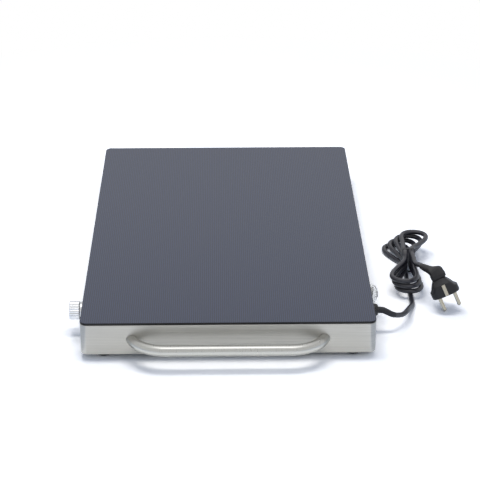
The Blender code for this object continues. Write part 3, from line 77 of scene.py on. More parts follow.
def add_node(tree, kind, settings, links):
    """One shader node: settings and links are given by socket name, socket number or property."""
    node = tree.nodes.new("ShaderNode" + kind)
    for key, value in settings.items():
        if isinstance(key, int) or key in node.inputs:
            node.inputs[key].default_value = value
        else:
            setattr(node, key, value)
    for key, output in links.items():
        tree.links.new(output, node.inputs[key])
    return node


def finish(name, colours, roughness, grain_mm, relief_mm, metallic=0.0, detail=3.0):
    """A finish whose grain, of a real size in mm along each axis, varies its colour, gloss and relief."""
    material = bpy.data.materials.new(name)
    material.use_nodes = True
    tree = material.node_tree
    shader = tree.nodes["Principled BSDF"]
    shader.inputs["Metallic"].default_value = metallic
    place = add_node(tree, "TexCoord", {}, {})
    sized = add_node(tree, "Mapping", {"Scale": [1000 / size for size in grain_mm]},
                     {"Vector": place.outputs["Object"]})
    grain = add_node(tree, "TexNoise", {"Scale": 1.0, "Detail": detail}, {"Vector": sized.outputs["Vector"]})
    tint = add_node(tree, "Mix", {"data_type": "RGBA", 6: linear(colours[0]), 7: linear(colours[1])},
                    {0: grain.outputs["Fac"]})
    tint.name = "tint"
    gloss = add_node(tree, "MapRange", {"To Min": roughness[0], "To Max": roughness[1]},
                     {"Value": grain.outputs["Fac"]})
    relief = add_node(tree, "Bump", {"Strength": 1.0, "Distance": relief_mm / 1000},
                      {"Height": grain.outputs["Fac"]})
    tree.links.new(tint.outputs[2], shader.inputs["Base Color"])
    tree.links.new(gloss.outputs["Result"], shader.inputs["Roughness"])
    tree.links.new(relief.outputs["Normal"], shader.inputs["Normal"])
    return material


def smooth_route(marks, spacing, fine_steps=16):
    """Evenly spaced points on a smooth curve through the marks."""
    marks = [Vector(mark) for mark in marks]
    padded = [2 * marks[0] - marks[1]] + marks + [2 * marks[-1] - marks[-2]]
    fine = []
    for i in range(1, len(padded) - 2):
        before, start, end, after = padded[i - 1:i + 3]
        for step in range(fine_steps):
            t = step / fine_steps
            fine.append(0.5 * (2 * start + (end - before) * t
                               + (2 * before - 5 * start + 4 * end - after) * t * t
                               + (3 * start - before - 3 * end + after) * t * t * t))
    fine.append(marks[-1])
    total = sum((b - a).length for a, b in zip(fine, fine[1:]))
    count = round(total / spacing)
    route = [fine[0]]
    walked = 0.0
    for a, b in zip(fine, fine[1:]):
        step_length = (b - a).length
        while len(route) < count and walked + step_length >= total * len(route) / count:
            route.append(a.lerp(b, (total * len(route) / count - walked) / step_length))
        walked += step_length
    route.append(fine[-1])
    return route


def drawn_curve(ends, pulls, t):
    """The point at share t of a curve between two ends, drawn towards two pulls."""
    s = 1 - t
    return s ** 3 * ends[0] + 3 * s * s * t * pulls[0] + 3 * s * t * t * pulls[1] + t ** 3 * ends[1]


def lay_tube(name, route, radius, material, radii=None):
    """A round tube along a route, as one bevelled curve."""
    curve = bpy.data.curves.new(name, "CURVE")
    curve.dimensions = "3D"
    curve.bevel_depth = radius
    curve.bevel_resolution = 5
    curve.use_fill_caps = True
    curve.resolution_u = 1
    line = curve.splines.new("POLY")
    line.points.add(len(route) - 1)
    line.use_smooth = True
    for index, point in enumerate(route):
        line.points[index].co = (*point, 1.0)
        line.points[index].radius = 1.0 if radii is None else radii[index] / radius
    tube = bpy.data.objects.new(name, curve)
    bpy.context.scene.collection.objects.link(tube)
    curve.materials.append(material)
    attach(tube, "housing")
    return tube


def ease(value):
    """A smooth rise from 0 to 1, flat at both ends."""
    value = min(1, max(0, value))
    return value * value * (3 - 2 * value)


def share_of(value, start, end):
    """How far a value has come on its way from start to end, from 0 to 1."""
    return min(1, max(0, (value - start) / (end - start)))


# Extruded PVC: nearly black and even, with the slight gloss that shows as a pale line along the top.
# The 9 mm grain is the slow waviness of the extruded sheath.
cord_sheath = finish("extruded PVC sheath", ("#1d1d27", "#272731"), (0.28, 0.38), (9, 9, 9), 0.02)
cord_sheath.node_tree.nodes["Principled BSDF"].inputs["Specular IOR Level"].default_value = 0.9
cord_radius = 0.0031
cord_spacing = 0.0032
side_axis_height = 0.0284
bushing_y = -0.2025
bushing_nose = Vector((0.1806, bushing_y, side_axis_height))
hank_middle = Vector((0.2329, -0.0435, 0.0034))
waist_offset = 0.0038
lead_end_before_middle = 0.0893
hank_start = hank_middle + Vector((-waist_offset, -lead_end_before_middle, 0))

# Shares of the way from the bushing to the hank along X, Y and Z: the lead leaves level,
# sags, and swings back to the hank.
lead_shares = (
    (0.062, 0.0, 0.0), (0.125, 0.0, 0.019), (0.187, -0.010, 0.064), (0.249, -0.012, 0.126),
    (0.295, -0.010, 0.182), (0.345, 0.004, 0.245), (0.417, 0.038, 0.332), (0.494, 0.088, 0.418),
    (0.574, 0.142, 0.488), (0.651, 0.213, 0.552), (0.722, 0.305, 0.604), (0.788, 0.425, 0.668),
    (0.866, 0.62, 0.82), (0.944, 0.79, 0.95), (0.992, 0.905, 0.998))
way = hank_start - bushing_nose
lead_marks = [bushing_nose + Vector((x * way.x, y * way.y, z * way.z)) for x, y, z in lead_shares]

# Layers lie 6.8 mm apart, and the cord is lifted over the tie's band, which passes under the hank's middle.
layer_pitch = 0.0068
tie_lift, tie_lift_reach = 0.0014, 0.030


def hank_mark(run, across, layer):
    """A point of the hank: along it from its middle, across it, and the layer that it lies in."""
    lift = tie_lift * (1 - ease(abs(run) / tie_lift_reach))
    return hank_middle + Vector((across, run, layer_pitch * layer + lift))


# The cord enters along the waist and is then wound in loops that swell into a lobe at both ends. Each far
# lobe (at +Y) and each near one lies a little further to one side than the one under it, and the cord climbs
# by one layer each time it comes back from a far lobe.
entry_length, entry_steps = 0.089, 7
wound_degrees, wound_steps = 1277, 85
lobe_reach, lobe_swell = 0.075, 0.0336
far_fan, far_fan_growth, far_shortening = -0.012, 0.030, 0.004
near_fan, near_fan_growth = -0.006, -0.008
first_far, last_far = 90, 1170
first_near, last_near = 270, 990
straight_share = 0.6
climbs, climb_span = 4, 80
hank_marks = [hank_mark(-entry_length * (1 - step / entry_steps), -waist_offset, 0)
              for step in range(entry_steps)]
for step in range(wound_steps + 1):
    degrees = wound_degrees * step / wound_steps
    sine, cosine = math.sin(math.radians(degrees)), math.cos(math.radians(degrees))
    reach = lobe_reach
    if sine > 0:
        share = share_of(degrees, first_far, last_far)
        fan = far_fan + far_fan_growth * share
        reach -= far_shortening * share
    else:
        fan = near_fan + near_fan_growth * share_of(degrees, first_near, last_near)
    across = -cosine * (waist_offset + lobe_swell * sine ** 2)
    tilt = math.atan2(fan, lobe_reach) * ease(abs(sine) / straight_share)
    tilt = math.copysign(tilt, tilt * sine)
    layer = sum(ease((degrees - (180 + 360 * climb - climb_span / 2)) / climb_span)
                for climb in range(climbs))
    run = reach * sine
    hank_marks.append(hank_mark(run * math.cos(tilt) - across * math.sin(tilt),
                                across * math.cos(tilt) + run * math.sin(tilt), layer))
hank_end = hank_marks[-1] + Vector((0, -2 * cord_radius, 0))

# The plug's place: its face looks down and to the right, and one pin's rounded tip stands on the table.
# Pieces that touch stay 0.3 mm apart.
touching_gap = 0.0003
pin_pitch, pin_length, pin_rounding = 0.019, 0.019, 0.0012
plug_face = hank_middle + Vector((0.0357, -0.1047, 0))
plug_axis = Vector((0.400, -0.266, -0.877)).normalized()
pin_line = Vector((0.916, 0.078, 0.394))
pin_line = (pin_line - pin_line.dot(plug_axis) * plug_axis).normalized()
plug_face.z = (touching_gap + pin_pitch / 2 * pin_line.z - pin_length * plug_axis.z
               + pin_rounding * math.sqrt(1 - plug_axis.z ** 2))
neck_tip = plug_face + Vector((-0.0272, 0.0351, 0.0206))
neck_way = Vector((0.10, 0.95, -0.28)).normalized()

# The cord's tail, from the hank up to the plug's neck, and a short way into the neck.
tail_steps = 8
tail_overlap = 0.002
tail_pull = (neck_tip - hank_end).length / 3
tail_pulls = hank_end - Vector((0, tail_pull, 0)), neck_tip + neck_way * tail_pull
tail_marks = [drawn_curve((hank_end, neck_tip), tail_pulls, step / tail_steps)
              for step in range(tail_steps + 1)]
tail_marks.append(neck_tip - neck_way * tail_overlap)
cord_route = smooth_route([bushing_nose] + lead_marks + [hank_start] + hank_marks + tail_marks, cord_spacing)
mains_cord = lay_tube("mains_cord", cord_route, cord_radius, cord_sheath)
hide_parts("cord_lead", "cord_hank", "cord_tail")

# Strain relief.
# A short tapered sleeve of softer black rubber, moulded on the cord where it leaves the bushing,
# so that the cord bends gently there.

# Soft moulded rubber is matt and greyer than the cord. Its 1.2 mm grain is drawn coarser than the real one.
relief_rubber = finish("moulded soft rubber", ("#202024", "#2b2b30"), (0.45, 0.6), (1.2, 1.2, 1.2), 0.02)
relief_length, relief_radius, relief_taper = 0.0225, 0.0040, 0.0006
relief_route = []
walked = 0.0
for a, b in zip(cord_route, cord_route[1:]):
    if walked <= relief_length:
        relief_route.append(a)
    walked += (b - a).length
relief_last = len(relief_route) - 1
relief_radii = [relief_radius - relief_taper * index / relief_last for index in range(len(relief_route))]
strain_relief = lay_tube("strain_relief_sleeve", relief_route, relief_radius, relief_rubber, relief_radii)
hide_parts("strain_relief")


# Hank tie.
# A flat black polyethylene band, 4 mm wide and 0.6 mm thick. It is closed round the waist of the hank
# and holds the crossings together.
def fit_piece(name, bm, material, body="housing", stands_for=(), crease=35):
    """Store a mesh as a finished piece of its body, smooth but for edges sharper than crease degrees."""
    bmesh.ops.remove_doubles(bm, verts=bm.verts, dist=0.000001)
    bmesh.ops.recalc_face_normals(bm, faces=bm.faces)
    mesh = bpy.data.meshes.new(name)
    bm.to_mesh(mesh)
    bm.free()
    mesh.shade_smooth()
    mesh.set_sharp_from_angle(angle=math.radians(crease))
    piece = bpy.data.objects.new(name, mesh)
    bpy.context.scene.collection.objects.link(piece)
    mesh.materials.append(material)
    even = piece.modifiers.new("Even shading", "WEIGHTED_NORMAL")
    even.keep_sharp = True
    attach(piece, body)
    if stands_for:
        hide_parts(*stands_for)
    return piece


def block(low, high):
    """A box between two corners."""
    bm = bmesh.new()
    bmesh.ops.create_cube(bm, size=1.0)
    bmesh.ops.scale(bm, vec=high - low, verts=bm.verts)
    bmesh.ops.translate(bm, vec=(high + low) / 2, verts=bm.verts)
    return bm


def runs_along(edge, axis):
    """Whether an edge leads along an axis, rather than across it."""
    return abs(edge.verts[0].co[axis] - edge.verts[1].co[axis]) > 0.001


def round_edges(bm, edges, radius, segments):
    """Round off some edges of a mesh."""
    bmesh.ops.bevel(bm, geom=edges, offset=radius, segments=segments, profile=0.5, affect="EDGES",
                    material=-1)


# Ribbed polyethylene: a dull black. Its ribs are drawn as a 0.8 mm grain that breaks up the light.
tie_plastic = finish("ribbed polyethylene band", ("#26262a", "#34343a"), (0.35, 0.5), (0.8, 0.8, 0.8), 0.01)
tie_corner, tie_thickness = 0.003, 0.0006
tie = block(*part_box("cord_tie"))
round_edges(tie, [e for e in tie.edges if runs_along(e, 1)], tie_corner, 6)
tie.normal_update()
bmesh.ops.delete(tie, geom=[f for f in tie.faces if abs(f.normal.y) > 0.9], context="FACES")
bmesh.ops.recalc_face_normals(tie, faces=tie.faces)
bmesh.ops.solidify(tie, geom=tie.faces[:], thickness=tie_thickness)
hank_tie = fit_piece("hank_tie", tie, tie_plastic, stands_for=["cord_tie"])

# Plug.
# A two-pin mains plug moulded in one piece on the cord: a flat-sided body that spreads to a round face,
# a block above it, and a bent neck. It stands on one of its pins and leans on the hank.

# Moulded PVC with a fine matt grain: only the faces that look up catch light. The grain is drawn 0.5 mm wide,
# coarser than the real one.
plug_rubber = finish("moulded PVC, fine matt grain", ("#18181b", "#212124"), (0.36, 0.46), (0.5, 0.5, 0.5),
                     0.012)
# Each section from the face to the neck: share of the length, width, depth, lean along the pins' line, and
# how square it is (2 is an oval).
plug_sections = (
    (0.0, 0.965, 0.95, -0.02, 2.6), (0.03, 1.0, 1.0, -0.02, 2.8), (0.26, 1.0, 1.0, -0.02, 3.0),
    (0.31, 0.86, 1.0, -0.04, 4.2), (0.42, 0.75, 1.0, -0.05, 4.6), (0.50, 0.67, 0.99, -0.06, 4.6),
    (0.58, 0.585, 0.84, -0.075, 4.0), (0.67, 0.495, 0.60, -0.085, 3.6), (0.74, 0.460, 0.50, -0.065, 3.4),
    (0.76, 0.535, 0.56, -0.045, 4.6), (0.88, 0.545, 0.56, -0.040, 4.8), (0.90, 0.53, 0.54, -0.040, 4.8))
plug_half_width, plug_half_depth, plug_length = 0.0174, 0.0150, 0.030
plug_segments = 32
plug = bmesh.new()
plug_rings = []


def plug_ring(centre, along, half_width, half_depth, square):
    """One closed section of the plug, between an oval and a rounded square."""
    side = (pin_line - pin_line.dot(along) * along).normalized()
    front = side.cross(along)
    ring = bmesh.ops.create_circle(plug, segments=plug_segments, radius=1.0)["verts"]
    for vert in ring:
        x, y = vert.co.x, vert.co.y
        x = math.copysign(abs(x) ** (2 / square), x)
        y = math.copysign(abs(y) ** (2 / square), y)
        vert.co = centre + side * half_width * x + front * half_depth * y
    plug_rings.append(list({e for v in ring for e in v.link_edges}))


for share, width, depth, lean, square in plug_sections:
    centre = plug_face - plug_axis * plug_length * share + pin_line * plug_half_width * lean
    plug_ring(centre, -plug_axis, plug_half_width * width, plug_half_depth * depth, square)

# The neck starts with the block's last section, shrinks to a round sleeve in its first half, and bends
# over to the cord.
neck_root, neck_square = centre, square
neck_width, neck_depth = plug_half_width * width, plug_half_depth * depth
neck_steps, neck_shrink_share = 14, 0.50
neck_root_pull, neck_tip_pull = 0.002, 0.004
sleeve_radius, sleeve_taper = 0.0066, 0.0032
neck_pulls = neck_root - plug_axis * neck_root_pull, neck_tip - neck_way * neck_tip_pull
for step in range(1, neck_steps + 1):
    t = step / neck_steps
    s = 1 - t
    centre = drawn_curve((neck_root, neck_tip), neck_pulls, t)
    along = 3 * s * s * (neck_pulls[0] - neck_root) + 6 * s * t * (neck_pulls[1] - neck_pulls[0])
    along += 3 * t * t * (neck_tip - neck_pulls[1])
    shrink = ease(t / neck_shrink_share)
    sleeve = sleeve_radius - sleeve_taper * t
    plug_ring(centre, along.normalized(), neck_width * (1 - shrink) + sleeve * shrink,
              neck_depth * (1 - shrink) + sleeve * shrink, neck_square + (2 - neck_square) * shrink)
for lower, upper in zip(plug_rings, plug_rings[1:]):
    bmesh.ops.bridge_loops(plug, edges=lower + upper)
for ring in (plug_rings[0], plug_rings[-1]):
    bmesh.ops.contextual_create(plug, geom=ring)
plug_body = fit_piece("plug_moulding", plug, plug_rubber, stands_for=["plug_body"],
                      crease=30)


# Plug pins and earth clips.
# Two round 4.8 mm pins, 19 mm apart, turned from brass and nickel plated, and two sprung
# earth strips of the same metal on the flat sides of the plug.
def turned(profile, steps, place):
    """Spin (radius, height) points about Z and place the result by a matrix."""
    bm = bmesh.new()
    line = [bm.verts.new((radius, 0, height)) for radius, height in profile]
    edges = [bm.edges.new(pair) for pair in zip(line, line[1:])]
    if profile[0][0] > 0:
        edges.append(bm.edges.new((line[-1], line[0])))
    bmesh.ops.spin(bm, geom=line + edges, cent=(0, 0, 0), axis=(0, 0, 1), angle=2 * math.pi,
                   steps=steps, use_merge=True, use_duplicate=False)
    bmesh.ops.remove_doubles(bm, verts=bm.verts, dist=0.000001)
    bmesh.ops.dissolve_degenerate(bm, dist=0.000001, edges=bm.edges)
    bmesh.ops.transform(bm, matrix=place, verts=bm.verts)
    return bm


# Nickel plate on turned brass: a warm pale metal with a soft, slightly streaked gloss.
pin_nickel = finish("nickel-plated brass", ("#dcd6c6", "#c9c2b0"), (0.22, 0.34), (0.4, 0.4, 2.5), 0.003, 1.0)
pin_radius, pin_root = 0.0024, -0.003
# A straight shank that starts inside the plug, and a rounded tip.
pin_profile = [(0, pin_root), (pin_radius, pin_root), (pin_radius, 0.0170), (0.00232, 0.0177),
               (0.0020, 0.0183), (0.0015, 0.0187), (0.0008, pin_length), (0, pin_length)]
plug_depth = plug_axis.cross(pin_line)
plug_turn = Matrix((pin_line, plug_depth, plug_axis)).transposed().to_4x4()
for side_name, side in (("left", -1), ("right", 1)):
    root = plug_face + pin_line * (side * pin_pitch / 2)
    pin = turned(pin_profile, 32, Matrix.Translation(root) @ plug_turn)
    fit_piece("pin_" + side_name, pin, pin_nickel, stands_for=["plug_pin_" + side_name])
clip_size = Vector((0.0042, 0.0009, 0.0142))
clip_edge = 0.0003
clip_behind_face, clip_from_axis = 0.0077, 0.01575
for clip_name, side in (("front", 1), ("back", -1)):
    clip = block(clip_size / -2, clip_size / 2)
    round_edges(clip, [e for e in clip.edges if sum(v.co.y * side for v in e.verts) > 0], clip_edge, 3)
    seat = plug_face - plug_axis * clip_behind_face + plug_depth * (side * clip_from_axis)
    bmesh.ops.transform(clip, matrix=Matrix.Translation(seat) @ plug_turn, verts=clip.verts)
    fit_piece("earth_clip_" + clip_name, clip, pin_nickel,
                                 stands_for=["plug_earth_clip_" + clip_name])

# Outer frame.
# Folded from 1.2 mm stainless sheet and brushed along its length: a band with round corners, a ledge
# that carries the glass and a flange below. Its shape is the CAD node's, merged and smoothly shaded.

# Brushed stainless steel: a silver grey that spreads its highlights across the brushing. The marks run level
# and are drawn 1 mm apart, coarser than the real ones, so that they show.
brushed_steel = finish("brushed stainless steel", ("#a9a8a3", "#cfcdc9"), (0.27, 0.38), (80, 80, 1.0), 0.002,
                       1.0, 5.0)
steel_tree = brushed_steel.node_tree
steel_shader = steel_tree.nodes["Principled BSDF"]
steel_shader.inputs["Anisotropic"].default_value = 0.6
steel_shader.inputs["Anisotropic Rotation"].default_value = 0.25
steel_side = add_node(steel_tree, "NewGeometry", {}, {})
steel_way = add_node(steel_tree, "VectorMath", {"operation": "CROSS_PRODUCT", 0: (0, 0, 1)},
                     {1: steel_side.outputs["Normal"]})
steel_tree.links.new(steel_way.outputs["Vector"], steel_shader.inputs["Tangent"])
band = bmesh.new()
band.from_mesh(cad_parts["outer_frame"].data)
fit_piece("steel_frame", band, brushed_steel, stands_for=["outer_frame"], crease=50)

# Glass top.
# A 2.5 mm sheet of tempered glass whose ground edges are painted near-black as shade. Its underside is
# printed dark blue-grey with fine lighter lines, 2.4 mm apart, from front to back; the polished upper side
# mirrors the pale room.

# Polished glass over print: dark and even, with a clear and only slightly softened reflection.
glass = finish("tempered glass, printed underneath", ("#222b41", "#242d44"), (0.10, 0.14), (60, 60, 60), 0.0,
               0.0, 2.0)
line_pitch = 0.0024
line_blue = "#333e58"
glass_tree = glass.node_tree
glass_shader = glass_tree.nodes["Principled BSDF"]
glass_shader.inputs["IOR"].default_value = 1.5
glass_place = add_node(glass_tree, "TexCoord", {}, {})
glass_across = add_node(glass_tree, "SeparateXYZ", {}, {0: glass_place.outputs["Object"]})
line_phase = add_node(glass_tree, "Math", {"operation": "MULTIPLY", 1: 2 * math.pi / line_pitch},
                      {0: glass_across.outputs["X"]})
line_wave = add_node(glass_tree, "Math", {"operation": "SINE"}, {0: line_phase.outputs[0]})
line_share = add_node(glass_tree, "MapRange",
                      {"From Min": -0.2, "From Max": 1.0, "To Min": 0.0, "To Max": 1.0},
                      {"Value": line_wave.outputs[0]})
glass_print = add_node(glass_tree, "Mix", {"data_type": "RGBA", 7: linear(line_blue)},
                       {0: line_share.outputs[0], 6: glass_tree.nodes["tint"].outputs[2]})
glass_tree.links.new(glass_print.outputs[2], glass_shader.inputs["Base Color"])
sheet_corner = 0.008
upper_arris, lower_arris = 0.0006, 0.0004
sheet_low, sheet_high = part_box("glass_top")
sheet = block(sheet_low, sheet_high)
round_edges(sheet, [e for e in sheet.edges if runs_along(e, 2)], sheet_corner, 12)
for height, arris, segments in ((sheet_high.z, upper_arris, 4), (sheet_low.z, lower_arris, 2)):
    rim = [e for e in sheet.edges if all(abs(v.co.z - height) < 0.00001 for v in e.verts)]
    round_edges(sheet, rim, arris, segments)
sheet.normal_update()
# The rounded arrises and the ground edge take the second finish, which is painted shade.
for face in sheet.faces:
    face.material_index = 1 if abs(face.normal.z) < 0.95 else 0
glass_sheet = fit_piece("glass_sheet", sheet, glass, stands_for=["glass_top"], crease=40)
# The ground edge and the rounded arrises are painted nearly black: painted shade for the little light that
# leaves the glass there.
glass_edge_painted_shade = finish("ground edge of dark glass, painted shade", ("#08080a", "#0d0d10"), (0.25, 0.35), (2, 2, 2), 0.002)
glass_edge_painted_shade.node_tree.nodes["Principled BSDF"].inputs["IOR"].default_value = 1.4
glass_sheet.data.materials.append(glass_edge_painted_shade)


# Seal.
# A grey silicone strip between the glass and the frame's ledge, on which the glass rests.
# The glass hides it but for its edge.
def dress(material, *nodes):
    """Give CAD nodes that stay as they are their finish."""
    for node in nodes:
        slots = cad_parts[node].data.materials
        slots.clear()
        slots.append(material)


# Silicone rubber: mid grey and matt, so that it makes a plain thin line.
silicone = finish("silicone rubber", ("#58585a", "#626264"), (0.55, 0.7), (3, 3, 3), 0.01)
dress(silicone, "glass_seal")

# Handles.
# One bar of 12.7 mm stainless tube at each end, bent round at both ends and screwed on from inside
# the band. It is polished, which leaves fine marks that run round the tube.

# Polished stainless: bright, with long soft highlights that the marks streak a little. They are drawn 0.5 mm
# apart, coarser than the real ones.
tube_steel = finish("polished stainless tube", ("#c4c4c0", "#d2d2ce"), (0.24, 0.34), (0.5, 9, 9), 0.002,
                    1.0, 4.0)
tube_radius = 0.00635
plate_middle, frame_half_depth = 0.0031, 0.2675
bar_height, bar_half_span, bar_reach, bend_radius = 0.0255, 0.1105, 0.0267, 0.042
bend_steps, bar_stub = 24, 0.009
wall = frame_half_depth + touching_gap
sweep = math.acos(1 - bar_reach / bend_radius)
half_run = bar_half_span - bend_radius * math.sin(sweep)
crown = frame_half_depth + bar_reach
for bar_name, end in (("front", -1), ("rear", 1)):
    bend = []
    for step in range(bend_steps + 1):
        at = sweep * (1 - step / bend_steps)
        bend.append(Vector((-half_run - bend_radius * math.sin(at),
                            crown - bend_radius * (1 - math.cos(at)), 0)))
    # A straight stub leads each end into the wall, which cuts it off.
    bend.insert(0, bend[0] + Vector((-math.cos(sweep), -math.sin(sweep), 0)) * bar_stub)
    bar_marks = bend + [Vector((-point.x, point.y, 0)) for point in reversed(bend)]
    bar_route = [Vector((plate_middle + point.x, end * point.y, bar_height)) for point in bar_marks]
    bar_curve = lay_tube("bar_line", bar_route, tube_radius, tube_steel)
    bar_curve.data.bevel_resolution = 14
    bpy.context.view_layer.update()
    bar_mesh = bpy.data.meshes.new_from_object(bar_curve.evaluated_get(bpy.context.evaluated_depsgraph_get()))
    bpy.data.objects.remove(bar_curve)
    bar = bmesh.new()
    bar.from_mesh(bar_mesh)
    bpy.data.meshes.remove(bar_mesh)
    trimmed = bmesh.ops.bisect_plane(bar, geom=bar.verts[:] + bar.edges[:] + bar.faces[:], dist=0.000001,
                                     plane_co=(0, end * wall, 0), plane_no=(0, end, 0), clear_inner=True)
    rims = [item for item in trimmed["geom_cut"] if isinstance(item, bmesh.types.BMEdge)]
    bmesh.ops.edgeloop_fill(bar, edges=rims)
    fit_piece(bar_name + "_bar", bar, tube_steel, stands_for=[bar_name + "_handle"])

# Knob and collar.
# A small fluted knob turned from bright aluminium on the thermostat's shaft, and a plain
# bright collar between it and the frame.

# Bright turned aluminium: almost white, with a clear gloss that makes each flute a light and a dark line.
bright_metal = finish("bright turned aluminium", ("#e4e6ea", "#f3f5f7"), (0.15, 0.23), (0.3, 4, 4), 0.002,
                      1.0)
knob_radius, knob_length, knob_edge = 0.011, 0.0119, 0.0007
flutes, flute_depth = 20, 0.0006
cap_ring, cap_step = 0.0012, 0.0004
knob_low, knob_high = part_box("control_knob")
knob_centre = (knob_low + knob_high) / 2
knob = bmesh.new()
bmesh.ops.create_cone(knob, cap_ends=True, segments=160, radius1=knob_radius, radius2=knob_radius,
                      depth=knob_length)
for vert in knob.verts:
    angle = math.atan2(vert.co.y, vert.co.x)
    radius = knob_radius - flute_depth * ((1 - math.cos(flutes * angle)) / 2) ** 2
    vert.co.x, vert.co.y = radius * math.cos(angle), radius * math.sin(angle)
round_edges(knob, [e for e in knob.edges if not runs_along(e, 2)], knob_edge, 3)
cap = [f for f in knob.faces if len(f.verts) > 20 and f.calc_center_median().z > 0]
bmesh.ops.inset_region(knob, faces=cap, thickness=cap_ring, depth=0)
bmesh.ops.inset_region(knob, faces=cap, thickness=cap_step, depth=-cap_step)
outwards = Matrix(((0, 0, -1), (0, 1, 0), (1, 0, 0))).to_4x4()
bmesh.ops.transform(knob, matrix=Matrix.Translation(knob_centre) @ outwards, verts=knob.verts)
fit_piece("fluted_knob", knob, bright_metal, "knob", ["control_knob"], 30)
# The collar is a shallow cup, open towards the frame, with a rounded outer edge.
collar_profile = [(0.0088, 0), (0.0103, 0), (0.0103, 0.0034), (0.01015, 0.0039), (0.0095, 0.0042),
                  (0.0056, 0.0042), (0.0056, 0.0030), (0.0088, 0.0030)]
frame_half_width, knob_y = 0.17, -0.1978
collar_place = (plate_middle - frame_half_width - touching_gap, knob_y, side_axis_height)
collar_seat = Matrix.Translation(collar_place) @ outwards
fit_piece("collar", turned(collar_profile, 64, collar_seat), bright_metal, stands_for=["knob_collar"])
dress(bright_metal, "thermostat_shaft")

# Switch and splash boot.
# A small black rocker switch, clipped into the band, under a clear soft-vinyl boot that keeps
# splashes out. The boot's thick wall bends the light, so its rim looks pale and the rocker dark.

# Nylon from the mould: the housing is dull black, the rocker glossier, so that it shows a small highlight.
switch_nylon = finish("moulded black nylon", ("#19191b", "#242427"), (0.35, 0.5), (0.4, 0.4, 0.4), 0.008)
rocker_gloss = finish("moulded glossy nylon", ("#151517", "#1f1f22"), (0.18, 0.28), (1, 1, 1), 0.004)
dress(switch_nylon, "switch_housing")
dress(rocker_gloss, "switch_rocker")
# Soft vinyl: nearly clear and glossy, with a slow unevenness of 4 mm that wobbles what is seen through it.
clear_vinyl = finish("clear soft vinyl", ("#f2f5f6", "#ffffff"), (0.06, 0.12), (4, 4, 4), 0.05)
vinyl_shader = clear_vinyl.node_tree.nodes["Principled BSDF"]
vinyl_shader.inputs["Transmission Weight"].default_value = 0.92
vinyl_shader.inputs["IOR"].default_value = 1.45
boot = bmesh.new()
boot.from_mesh(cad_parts["switch_boot"].data)
fit_piece("splash_boot", boot, clear_vinyl, stands_for=["switch_boot"], crease=60)

# Cord bushing.
# A black nylon bushing with a domed head. It is pushed through the band, held by a nut inside
# the wall, and grips the cord.

# Glossy moulded nylon: the dome shows one soft highlight.
bushing_nylon = finish("moulded glossy nylon bushing", ("#17171a", "#222226"), (0.22, 0.32), (0.8, 0.8, 0.8),
                       0.006)
bore_radius, shank_radius, shank_length = 0.0034, 0.0055, 0.011
head_radius, head_height = 0.0077, 0.0072
dome_width, dome_height, dome_steps = 0.0027, 0.0048, 12
bushing_profile = [(bore_radius, -shank_length), (shank_radius, -shank_length), (shank_radius, touching_gap),
                   (head_radius, touching_gap)]
for step in range(dome_steps + 1):
    angle = math.radians(90 * step / dome_steps)
    bushing_profile.append((head_radius - dome_width * (1 - math.cos(angle)),
                            head_height - dome_height * (1 - math.sin(angle))))
bushing_profile.append((bore_radius, head_height))
bushing_turn = Matrix(((0, 0, 1), (0, 1, 0), (-1, 0, 0))).to_4x4()
bushing_place = (plate_middle + frame_half_width, bushing_y, side_axis_height)
bushing_seat = Matrix.Translation(bushing_place) @ bushing_turn
fit_piece("bushing", turned(bushing_profile, 48, bushing_seat), bushing_nylon, stands_for=["cord_bushing"],
          crease=40)
dress(switch_nylon, "bushing_nut")
dress(cord_sheath, "cord_inner_end")

# Feet.
# Four black rubber feet, a little wider at the sole, each held by a screw in its recess.
# They keep the band 6.6 mm off the table.

# Moulded rubber: black and matt, so that the feet stay dark under the plate.
foot_rubber = finish("moulded black rubber", ("#141416", "#1e1e20"), (0.6, 0.75), (0.6, 0.6, 0.6), 0.02)
foot_half_span, foot_half_run = 0.144, 0.248
foot_height, foot_bore, recess_radius, recess_depth = 0.0078, 0.0024, 0.0052, 0.0050
foot_profile = [(recess_radius, 0), (0.0095, 0), (0.0102, 0.0003), (0.0105, 0.0010), (0.0088, foot_height),
                (foot_bore, foot_height), (foot_bore, recess_depth), (recess_radius, recess_depth)]
for end_name, end in (("front", -1), ("rear", 1)):
    for side_name, side in (("left", -1), ("right", 1)):
        foot_seat = Matrix.Translation((plate_middle + side * foot_half_span, end * foot_half_run, 0))
        corner = end_name + "_" + side_name
        fit_piece("rubber_foot_" + corner, turned(foot_profile, 40, foot_seat), foot_rubber,
                  stands_for=["foot_" + corner])

# Base plate, screws and posts.
# A plain 1 mm sheet of galvanised steel with vent slots closes the case from below. Zinc-plated screws
# hold it, the feet and the handles, and zinc-plated posts carry the tray.

# Galvanised sheet is a dull grey with 7 mm blotches; zinc plate is lighter and smoother.
galvanised = finish("galvanised steel sheet", ("#a7a9aa", "#bcbec0"), (0.35, 0.55), (7, 7, 7), 0.01, 1.0)
zinc_plate = finish("zinc-plated steel", ("#b4b5b4", "#c8c9c6"), (0.28, 0.4), (0.5, 0.5, 0.5), 0.004, 1.0)
dress(galvanised, "base_plate")
for end_name in ("front", "rear"):
    for side_name in ("left", "right"):
        corner = end_name + "_" + side_name
        dress(zinc_plate, "base_screw_" + corner, "foot_screw_" + corner, "handle_screw_" + corner,
              "tray_post_" + corner)

# Heater stack.
# Under the glass lie a red silicone heating mat with two bare leads, a pressed glass-fibre board and a
# bright aluminium tray that stands on four posts.

